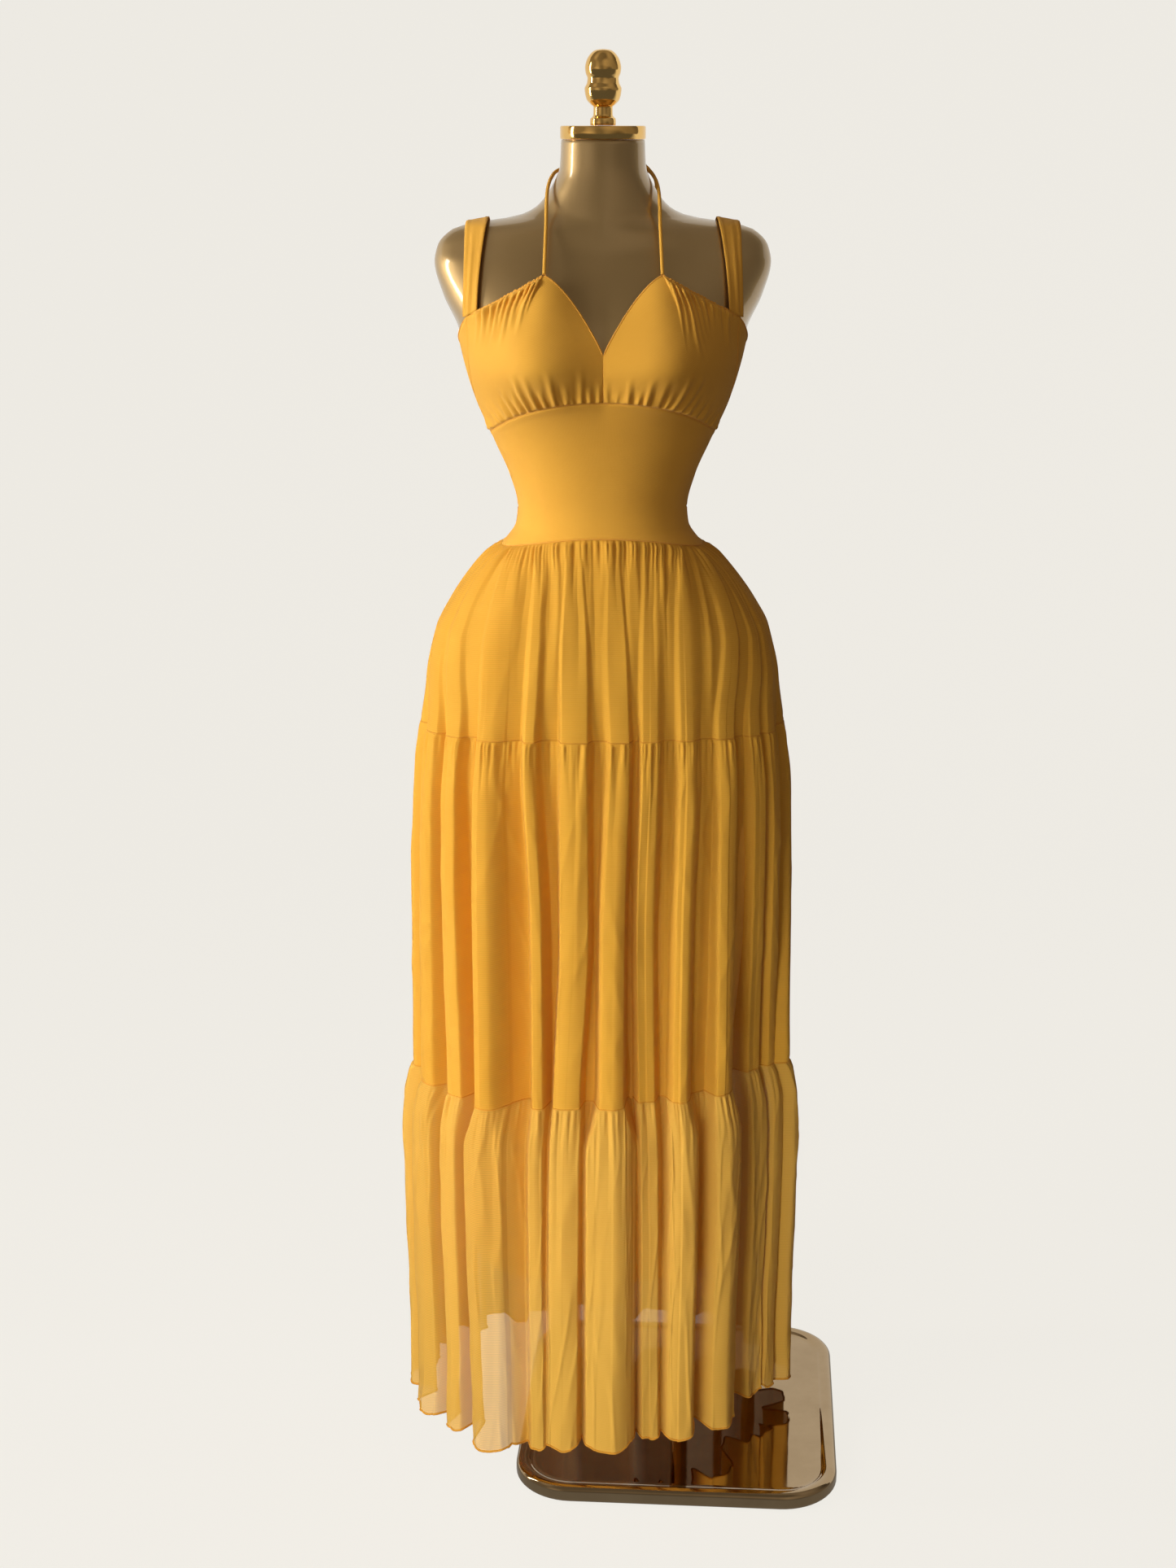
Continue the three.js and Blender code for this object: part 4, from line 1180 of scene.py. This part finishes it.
def make_cups(looks):
    for side, word in ((-1, "left"), (1, "right")):
        grid = cup_grid(side)
        cup = sheet_object(f"cup_{word}_cloth", grid, looks["jersey"], JERSEY_THICK)
        worn(cup, "cloth_jersey", f"cup_{word}")
        columns = grid.shape[1] - 1
        neck_count = int(round(columns * NECKLINE_SHARE))
        neck = grid[0, :neck_count + 1] if side > 0 else grid[0, columns - neck_count:]
        draw = grid[0, neck_count:] if side > 0 else grid[0, :columns - neck_count + 1]
        beads = comb(np.arange(len(draw)) * CASING_ROLL["step"], CASING_ROLL["spacing"], SEED + 15 + side)
        rolled = CASING_ROLL["thin"] + CASING_ROLL["thicker"] * beads
        edges = ((f"neckline_binding_{word}", neck, 1.15), (f"cup_casing_{word}", draw, rolled))
        trimmed(looks["edging"], "cloth_jersey", edges)


def make_midriff(looks):
    """The plain front band, with the raised seam at its top and the roll of the waist seam."""
    columns, rows = 120, 60
    angle = np.linspace(-1, 1, columns + 1)[None, :] * BODICE_SEAM_ANGLE
    share = np.linspace(0, 1, rows + 1)[:, None]
    z = mix(SEAMS["underbust"](angle), SEAMS["waist"](angle), share)
    slack = 0.35 * wobble(angle / 50, z / 60, SEED + 9)
    edge = 0.7 * np.exp(-((share - 0.02) / 0.02) ** 2)
    grid = level_offset(figure_point, angle, z, BODICE_EASE + slack + edge)
    midriff = sheet_object("midriff_front_cloth", grid, looks["jersey"], JERSEY_THICK)
    worn(midriff, "cloth_jersey", "midriff_front")
    seams = (("underbust_seam", grid[0], SEAM_ROLL), ("waist_seam", grid[-1], SEAM_ROLL))
    trimmed(looks["edging"], "cloth_jersey", seams)


def back_edge_angle(z):
    """The back panel's side edge: upright below the cups' foot, then forward to their corner."""
    along = np.clip((z - SIDE_BEND) / (CUP_CORNER["z"] - SIDE_BEND), 0, 1)
    return mix(BODICE_SEAM_ANGLE, CUP_CORNER["angle"], along)


def back_top_height(angle):
    """Height of the back panel's dipped top edge."""
    away = np.abs(180 - angle) / (180 - CUP_CORNER["angle"])
    return BACK_TOP + (CUP_CORNER["z"] - BACK_TOP) * away**2.2


def back_angle(share, z):
    """Angle at a share of the way across the back panel, a hair clear of the side seams."""
    edge = back_edge_angle(z) + BACK_SEAM_TURN
    return mix(edge, 360 - edge, share)


def make_bodice_back(looks):
    """The back with both sides, bound along its dipped top and down its sides."""
    share = np.linspace(0, 1, 121)
    top = np.full(share.shape, float(BACK_TOP))
    for _ in range(12):
        top = back_top_height(back_angle(share, top))
    bend = SIDE_BEND + SEAM_GAP
    upper = [mix(top, bend, s) for s in np.linspace(0, 1, 31)]
    lower = [mix(bend, SEAMS["waist"](180), s) + 0 * top for s in np.linspace(0, 1, 39)[1:]]
    z = np.array(upper + lower)
    angle = back_angle(share[None, :], z)
    slack = 0.4 * wobble(angle / 60, z / 70, SEED + 12)
    grid = level_offset(figure_point, angle, z, BODICE_EASE + slack)
    back = sheet_object("bodice_back_cloth", grid, looks["jersey"], JERSEY_THICK)
    worn(back, "cloth_jersey", "bodice_back")
    edges = (
        ("back_binding", grid[0], 1.2),
        ("side_binding_right", grid[:, 0], 1.1),
        ("side_binding_left", grid[:, -1], 1.1),
        ("waist_seam_back", grid[-1], SEAM_ROLL),
    )
    trimmed(looks["edging"], "cloth_jersey", edges)


def shoulder_height(x):
    """Height of the shoulder at a sideways distance, found by halving the stretch it lies in."""
    low, high = (np.full(x.shape, SHOULDER[end]) for end in ("low", "high"))
    for _ in range(30):
        middle = (low + high) / 2
        wider = FIGURE.at(middle, "half") > x
        low, high = np.where(wider, middle, low), np.where(wider, high, middle)
    return low


def strap_grid(side, across=20, along=110):
    """Flat strap from the cup's corner over the shoulder to the back panel, bunched at its feet."""
    share = np.linspace(0, 1, along + 1)[:, None]
    place = np.linspace(-1, 1, across + 1)[None, :]
    narrowed = mix(STRAP_FOOT_SHARE, 1, smooth(share / 0.5))
    x = STRAP_FRONT_X + STRAP_WIDTH / 2 + STRAP_WIDTH * (place - 1) / 2 * narrowed
    to_back = share > 0.5
    climb = np.sin(np.pi * share)
    moved_in = (STRAP_FRONT_X - STRAP_BACK_X) * (1 - climb)
    foot_x = np.where(to_back, x - moved_in, x + 0 * climb)
    along_edge = (x - STRAP_FOOT_INSET - CUP_TIP["x"]) / (CUP_CORNER["x"] - CUP_TIP["x"])
    front_foot = mix(CUP_TIP["z"], CUP_CORNER["z"], np.clip(along_edge, 0, 1))
    back_foot = back_top_height(180 - angle_at(foot_x, BACK_TOP + 10))
    foot = np.where(to_back, back_foot, front_foot) + STRAP_FOOT_GAP
    z = mix(foot, shoulder_height(x), climb)
    angle = angle_at(foot_x, z)
    figure_angle = np.where(climb > 0.9999, 90, np.where(to_back, 180 - angle, angle))
    point = figure_point(figure_angle, z)
    normal = normal_at(figure_point, np.clip(figure_angle, 4, 176), z)
    soft = point.copy()
    for _ in range(STRAP_SOFTENING["rounds"]):
        soft[1:-1] = (soft[:-2] + soft[1:-1] * 2 + soft[2:]) / 4
        normal[1:-1] = unit(normal[:-2] + normal[1:-1] * 2 + normal[2:])
    crossing = np.abs(share - 0.5) < STRAP_SOFTENING["reach"]
    point = np.where(crossing[..., None], soft, point)
    bunched = (1 - narrowed) / (1 - STRAP_FOOT_SHARE)
    stitched = 0.5 * np.exp(-((np.abs(place) - 0.78) / 0.12) ** 2)
    ridge = 1.4 * np.exp(-((place - 0.15) / 0.22) ** 2) * bunched
    point = point + normal * (STRAP_EASE + STRAP_THICK / 2 + stitched + ridge)[..., None]
    point[..., 0] *= side
    return point[:, ::-1] if side < 0 else point


def make_straps(looks):
    for side, word in ((-1, "left"), (1, "right")):
        grid = strap_grid(side)
        strap = sheet_object(f"shoulder_strap_{word}_cloth", grid, looks["jersey"], STRAP_THICK)
        worn(strap, "cloth_jersey", f"shoulder_strap_{word}")


# Skirt

def crest_angles(waist, upper, z):
    """Angle of a crease over the hips, at heights z: a straight run seen from the front where it
    starts near centre front or back, and a steady angle where it starts near a side seam."""
    waist_z = SEAMS["waist"](waist)
    down = np.clip((waist_z - z) / (waist_z - UPPER_SEAM), 0, 1)
    half = np.maximum(FIGURE.at(z, "half") + SKIRT_EASE.at(z, "ease"), 1)
    power = 2 / FIGURE.at(z, "power")

    def reach(angle, at_z):
        share = signed_power(np.sin(np.radians(angle)), 2 / FIGURE.at(at_z, "power"))
        return share * (FIGURE.at(at_z, "half") + SKIRT_EASE.at(at_z, "ease"))

    across = mix(reach(waist, waist_z), reach(upper, UPPER_SEAM), down)
    share = np.clip(np.abs(across) / half, 0, 1)
    straight = np.sign(across) * np.degrees(np.arcsin(share ** (1 / power)))
    behind = 90 < waist < 270
    if behind:
        straight = 180 - straight
    from_side = abs(abs((waist + 180) % 360 - 180) - 90) if behind else 90 - abs(waist)
    steady = mix(waist, upper, smooth(down))
    straightness = smooth((from_side - STEADY_SIDE["within"]) / STEADY_SIDE["over"])
    return mix(steady, straight, straightness)


def fold_angles(z):
    """The angle of every fold's crest at heights z, as an array with one more axis."""
    found = []
    for i in range(FOLDS.count):
        values = [FOLDS[name][i] for name in ("upper", "middle", "lower", "hem")]
        hanging = smooth_between((UPPER_SEAM, TIER2_MIDDLE, LOWER_SEAM, HEM_HEIGHT), values, z)
        over_hips = crest_angles(FOLDS["waist"][i], FOLDS["upper"][i], z)
        found.append(np.where(z > UPPER_SEAM, over_hips, hanging))
    return np.stack(found, axis=-1)


def fold_sides(u, z):
    """Number of the fold before each place, and the angles of its crest and of the next one."""
    crests = fold_angles(z)
    k = np.clip(np.floor(u).astype(int), 0, FOLDS.count - 2)

    def crest(number):
        return np.take_along_axis(crests, number[..., None], axis=-1)[..., 0]

    return k, crest(k), crest(k + 1)


def half_crown(half_width, away):
    """How round a crest is at an angle away from its middle, on one side."""
    share = np.clip(away / half_width, 0, 1)
    return np.minimum(half_width, CROWN_REACH) * (CROWN_TOP - share**2)


def skirt_grid(u, z):
    """The folded skirt at fold numbers u and heights z: points, outward directions, angles and how
    sheer the cloth is."""
    k, before, after = fold_sides(u, z)
    share, gap = u - k, after - before
    angle = mix(before, after, share)
    widened = smooth((WIDER_BELOW["z"] - z) / WIDER_BELOW["over"])

    def passing(name, sharpness=1):
        """A fold's value, giving way to the next fold's about half-way between them."""
        return mix(FOLDS[name][k], FOLDS[name][k + 1], smooth((share - 0.5) * sharpness + 0.5))

    # The hollow starts where the flat top and the slope of either fold end
    flat_right = FOLDS["right"][k] * mix(1, FOLDS["spread"][k], widened) / gap
    flat_left = FOLDS["left"][k + 1] * mix(1, FOLDS["spread"][k + 1], widened) / gap
    fall = FOLDS["fall"][k] / gap
    climb = FOLDS["rise"][k + 1] / gap
    hollowness = smooth((share - flat_right) / fall) * smooth((1 - flat_left - share) / climb)

    growth = FOLD_GROWTH.at(z, "depth")
    depth = mix(passing("crest"), FOLDS["hollow"][k] - HOLLOW_DEPTH, hollowness) * growth
    rise = (1 - hollowness) * FOLD_GROWTH.at(z, "rise") * passing("hips", 2)
    crown_right = half_crown((flat_right + fall) * gap, share * gap)
    crown_left = half_crown((flat_left + climb) * gap, (1 - share) * gap)
    crown = np.where(share < 0.5, crown_right, crown_left)
    calm = smooth((angle - CALM_SIDE["from"]) / CALM_SIDE["over"])
    calm = calm * smooth((CALM_SIDE["to"] - angle) / CALM_SIDE["over"])
    crown = crown * (1 - CALM_SIDE["share"] * calm)
    offset = depth + rise + CROWN * growth * crown * (1 - hollowness)

    hanging_room = SKIRT_HANG.at(z, "front") - LINING_HANG.at(z, "front") - LINING_ROOM
    room = np.where(z > HIP_BREAK, SKIRT_EASE.at(z, "ease") - HIP_ROOM, hanging_room)
    offset = np.maximum(offset, -np.maximum(room, 0))
    normal = normal_at(skirt_point, angle, z)
    normal[..., 2] = 0
    normal = unit(normal)
    point = skirt_point(angle, z) + normal * (offset + CLOTH_MIDDLE)[..., None]
    point[..., 1] += passing("setback") * FOLD_GROWTH.at(z, "setback")
    return point, normal, angle, mix(passing("sheer", 4), HOLLOW_SHEER, hollowness)


# Heights between which each tier's creases run
TIER_HEIGHTS = {1: (1140, UPPER_SEAM), 2: (918, 487), 3: (484, HEM_HEIGHT)}


def creases(tier, panel, angle, z):
    """Lesser ridges listed for the front, and made by a seeded loop on the back."""
    top_z, low_z = TIER_HEIGHTS[tier]
    if panel == "front":
        listed = [FRONT_CREASES.row(i).values() for i in range(FRONT_CREASES.count)]
    else:
        chance = np.random.default_rng(SEED + 40 + tier)
        listed = []
        for angle_top in np.linspace(97, 263, BACK_CREASES_PER_TIER):
            start = angle_top + chance.uniform(-4, 4)
            reach = mix(top_z, low_z, chance.uniform(0.5, 0.95))
            end = start + chance.uniform(-2, 2)
            height, width = chance.uniform(1.2, 2.8), chance.uniform(1.2, 2.8)
            listed.append([tier, start, end, reach, height, width])
    total = 0 * z
    for of_tier, top, low, reach, height, width in listed:
        if of_tier != tier:
            continue
        down = np.clip((top_z - z) / (top_z - low_z), 0, 1)
        centre = crest_angles(top, low, z) if tier == 1 else mix(top, low, down)
        fade = smooth((top_z - z) / 40) * (1 - smooth((reach + 40 - z) / 80))
        total = total + height * fade * np.exp(-((angle - centre) / width) ** 2)
    return total


# Gathers below each tier's top seam: their spacing and height, how far the cloth puffs out, and the
# share of a gather that lies inside the smooth surface
GATHER_ROWS = Table("""
    tier spacing height puff inward
    1 6.0 4.0 0.8 0.25
    2 6.2 3.2 0.6 0.5
    3 6.0 3.6 2.4 0.4
""")
# Small, middle and large gathers: how much wider apart and how high they are, as shares of the
# tier's own, and how far down they reach
GATHER_SIZES = ((1, 1, 36), (2.1, 1, 80), (4.3, 0.9, 190))
# Crossing wrinkles: their usual distance apart and length, and how far they stand out
WRINKLES = Table("""
    tier across down height
    1 46 300 0.4
    2 40 340 0.9
    3 38 250 1.5
""")
# Cloth taken up at a tier's top seam and at its foot, and the drop over which it is
TOP_PINCH = {"depth": 0.6, "over": 3}
FOOT_PINCH = {"depth": 0.9, "over": 9}
# Slow slack all over a tier: how far it stands out, and its size in degrees across and mm down
SLACK = {"out": 0.9, "across": 14, "down": 160}
# The hem's rises and falls: their height in mm and their length in folds. Its flare, from a share
# of the way down.
HEM_UNEVEN = ((2.4, 1.3), (1.8, 0.35))
HEM_FLARE = {"out": 2.6, "length": 24, "from": 0.9}
# Rolled hems and seams by tier, and how much thicker the bottom hem's beads are
TRIM_RADIUS = {1: 0.8, 2: 0.8, 3: 1.15}
HEM_BEADS = {"thicker": 0.35, "step": 1.4, "spacing": 5}


def tier_drops(length):
    """How far below its top seam each row of a tier's points lies, closer together at both ends."""
    gathered, loose, hem = 30, 110, 12
    stretches = (
        np.linspace(0, gathered, 16)[:-1],
        np.linspace(gathered, loose, 20)[:-1],
        np.linspace(loose, length - hem, int((length - loose - hem) / 7) + 2)[:-1],
        np.linspace(length - hem, length, 6),
    )
    return np.concatenate(stretches)[:, None]


def tier_relief(tier, panel, arc, drops, length, angle, z):
    """How far a tier's cloth stands out from its folds, in gathers, slack, wrinkles and creases. Arc
    is the way along the top seam and drops the way down from it."""
    rows, wrinkles = GATHER_ROWS.row(tier - 1), WRINKLES.row(tier - 1)
    seed = SEED + 100 * tier + (0 if panel == "front" else 50)
    rising = smooth(drops / 4)
    drift = 1.5 * wobble(arc / 90, drops / 60, seed + 4)
    relief = 0
    for i, (wider, higher, reach) in enumerate(GATHER_SIZES):
        ridges = comb(arc + drift, rows["spacing"] * wider, seed + i) - rows["inward"]
        relief = relief + ridges * rows["height"] * higher * rising * (1 - smooth(drops / reach))
    relief = relief + rows["puff"] * smooth(drops / 14) * (1 - smooth((drops - 30) / 160))
    relief = relief - TOP_PINCH["depth"] * (1 - smooth(drops / TOP_PINCH["over"]))
    if tier < 3:
        below = (drops - length) / FOOT_PINCH["over"] + 1
        relief = relief - FOOT_PINCH["depth"] * smooth(below)
    slack = SLACK["out"] * wobble(angle / SLACK["across"], z / SLACK["down"], seed + 3)
    relief = relief + slack * smooth(drops / 60)
    across, down = wrinkles["across"], wrinkles["down"]
    lines = crinkle((arc + 0.16 * drops) / across, drops / down, seed + 7)
    lines = lines + crinkle((arc - 0.10 * drops) / (across * 1.4), drops / (down * 0.7), seed + 9)
    relief = relief + wrinkles["height"] * lines * smooth(drops / 60)
    relief = relief + creases(tier, panel, angle, z)
    if tier == 3:
        at_hem = smooth((drops / length - HEM_FLARE["from"]) / (1 - HEM_FLARE["from"]))
        waves = wobble(arc / HEM_FLARE["length"], 0 * drops, seed + 6)
        relief = relief + HEM_FLARE["out"] * waves * at_hem
    return relief


def tier_sheet(tier, panel, columns_per_fold=46):
    """One panel of a tier: its points and how sheer it is at each of them."""
    first, last = {"front": (0, RIGHT_SEAM_FOLD), "back": (RIGHT_SEAM_FOLD, FOLDS.count - 1)}[panel]
    u = np.linspace(first, last, (last - first) * columns_per_fold + 1)[None, :]
    k = np.clip(np.floor(u).astype(int), 0, FOLDS.count - 2)
    top, low = (SEAMS[key](mix(FOLDS[key][k], FOLDS[key][k + 1], u - k)) for key in TIER_ENDS[tier])
    top = top - SEAM_GAP
    length = float(np.mean(top - low))
    drops = tier_drops(length)
    share = drops / length
    z = mix(top, low, share) + 0 * u
    if tier == 3:
        lift = HEM_LIFT * np.sin(np.pi * (u - k)) ** 2
        for n, (height, wave) in enumerate(HEM_UNEVEN):
            lift = lift + height * wobble(u / wave, 0 * u, SEED + 3 + n)
        z = z + lift * share**4
    point, normal, angle, sheer = skirt_grid(u + 0 * z, z)
    steps = np.linalg.norm(np.diff(point[0], axis=0), axis=-1)
    arc = np.concatenate([[0], np.cumsum(steps)])[None, :]
    relief = tier_relief(tier, panel, arc, drops, length, angle, z)
    held = smooth((u - first) / 0.06) * smooth((last - u) / 0.06)
    return point + normal * (relief * mix(0.35, 1, held))[..., None], sheer


TIER_TRIMS = {1: "upper_seam", 2: "lower_seam", 3: "hem_roll"}


def make_tier(tier, panel, looks):
    """One panel of a tier with the roll along its foot: the seam to the next tier, or the hem."""
    grid, sheer = tier_sheet(tier, panel)
    cloth = sheet_object(f"tier{tier}_{panel}_cloth", grid, looks["sheer" if tier == 3 else "mesh"])
    layer = cloth.data.attributes.new("cloth_sheer", "FLOAT", "POINT")
    layer.data.foreach_set("value", sheer.ravel())
    worn(cloth, "cloth_mesh", f"tier{tier}_{panel}")
    radius = TRIM_RADIUS[tier]
    if tier == 3:
        along = np.arange(grid.shape[1]) * HEM_BEADS["step"]
        radius = radius + HEM_BEADS["thicker"] * comb(along, HEM_BEADS["spacing"], SEED + 8)
    foot = ((f"{TIER_TRIMS[tier]}_{panel}", grid[-1], radius),)
    trimmed(looks["hem"], "cloth_mesh", foot)


def make_skirt(looks):
    for panel in ("front", "back"):
        for tier in TIER_ENDS:
            make_tier(tier, panel, looks)


def make_lining(looks):
    """The shorter skirt lining in two panels. It lies close over the hips and hangs in slow waves."""
    for panel, start in (("front", -90), ("back", 90)):
        angle = np.linspace(start, start + 180, 121)[None, :]
        top = SEAMS["waist"](angle) - SEAM_GAP
        share = np.linspace(0, 1, 71)[:, None]
        uneven = LINING_HEM["uneven"] * wobble(angle / 25, 0 * angle, SEED + 60)
        z = mix(top, LINING_HEM["height"] + uneven, share)
        hanging = smooth((HIP_BREAK - LINING_WAVES["below"] - z) / LINING_WAVES["over"])
        waves = LINING_WAVES["out"] * wobble(angle / 22, z / 700, SEED + 61) * hanging
        grid = level_offset(lining_point, angle, z, 0.5 + waves)
        lining = sheet_object(f"lining_{panel}_cloth", grid, looks["lining"], LINING_THICK)
        worn(lining, "cloth_lining", f"lining_{panel}")
        foot = ((f"lining_hem_{panel}", grid[-1], LINING_HEM["roll"]),)
        trimmed(looks["lining"], "cloth_lining", foot)


make_camera()
LOOKS = make_materials()
make_cords(LOOKS)
make_light()
make_stage()
make_form(LOOKS)
make_stand(LOOKS)
make_cups(LOOKS)
make_midriff(LOOKS)
make_bodice_back(LOOKS)
make_straps(LOOKS)
make_skirt(LOOKS)
make_lining(LOOKS)

bpy.context.view_layer.update()
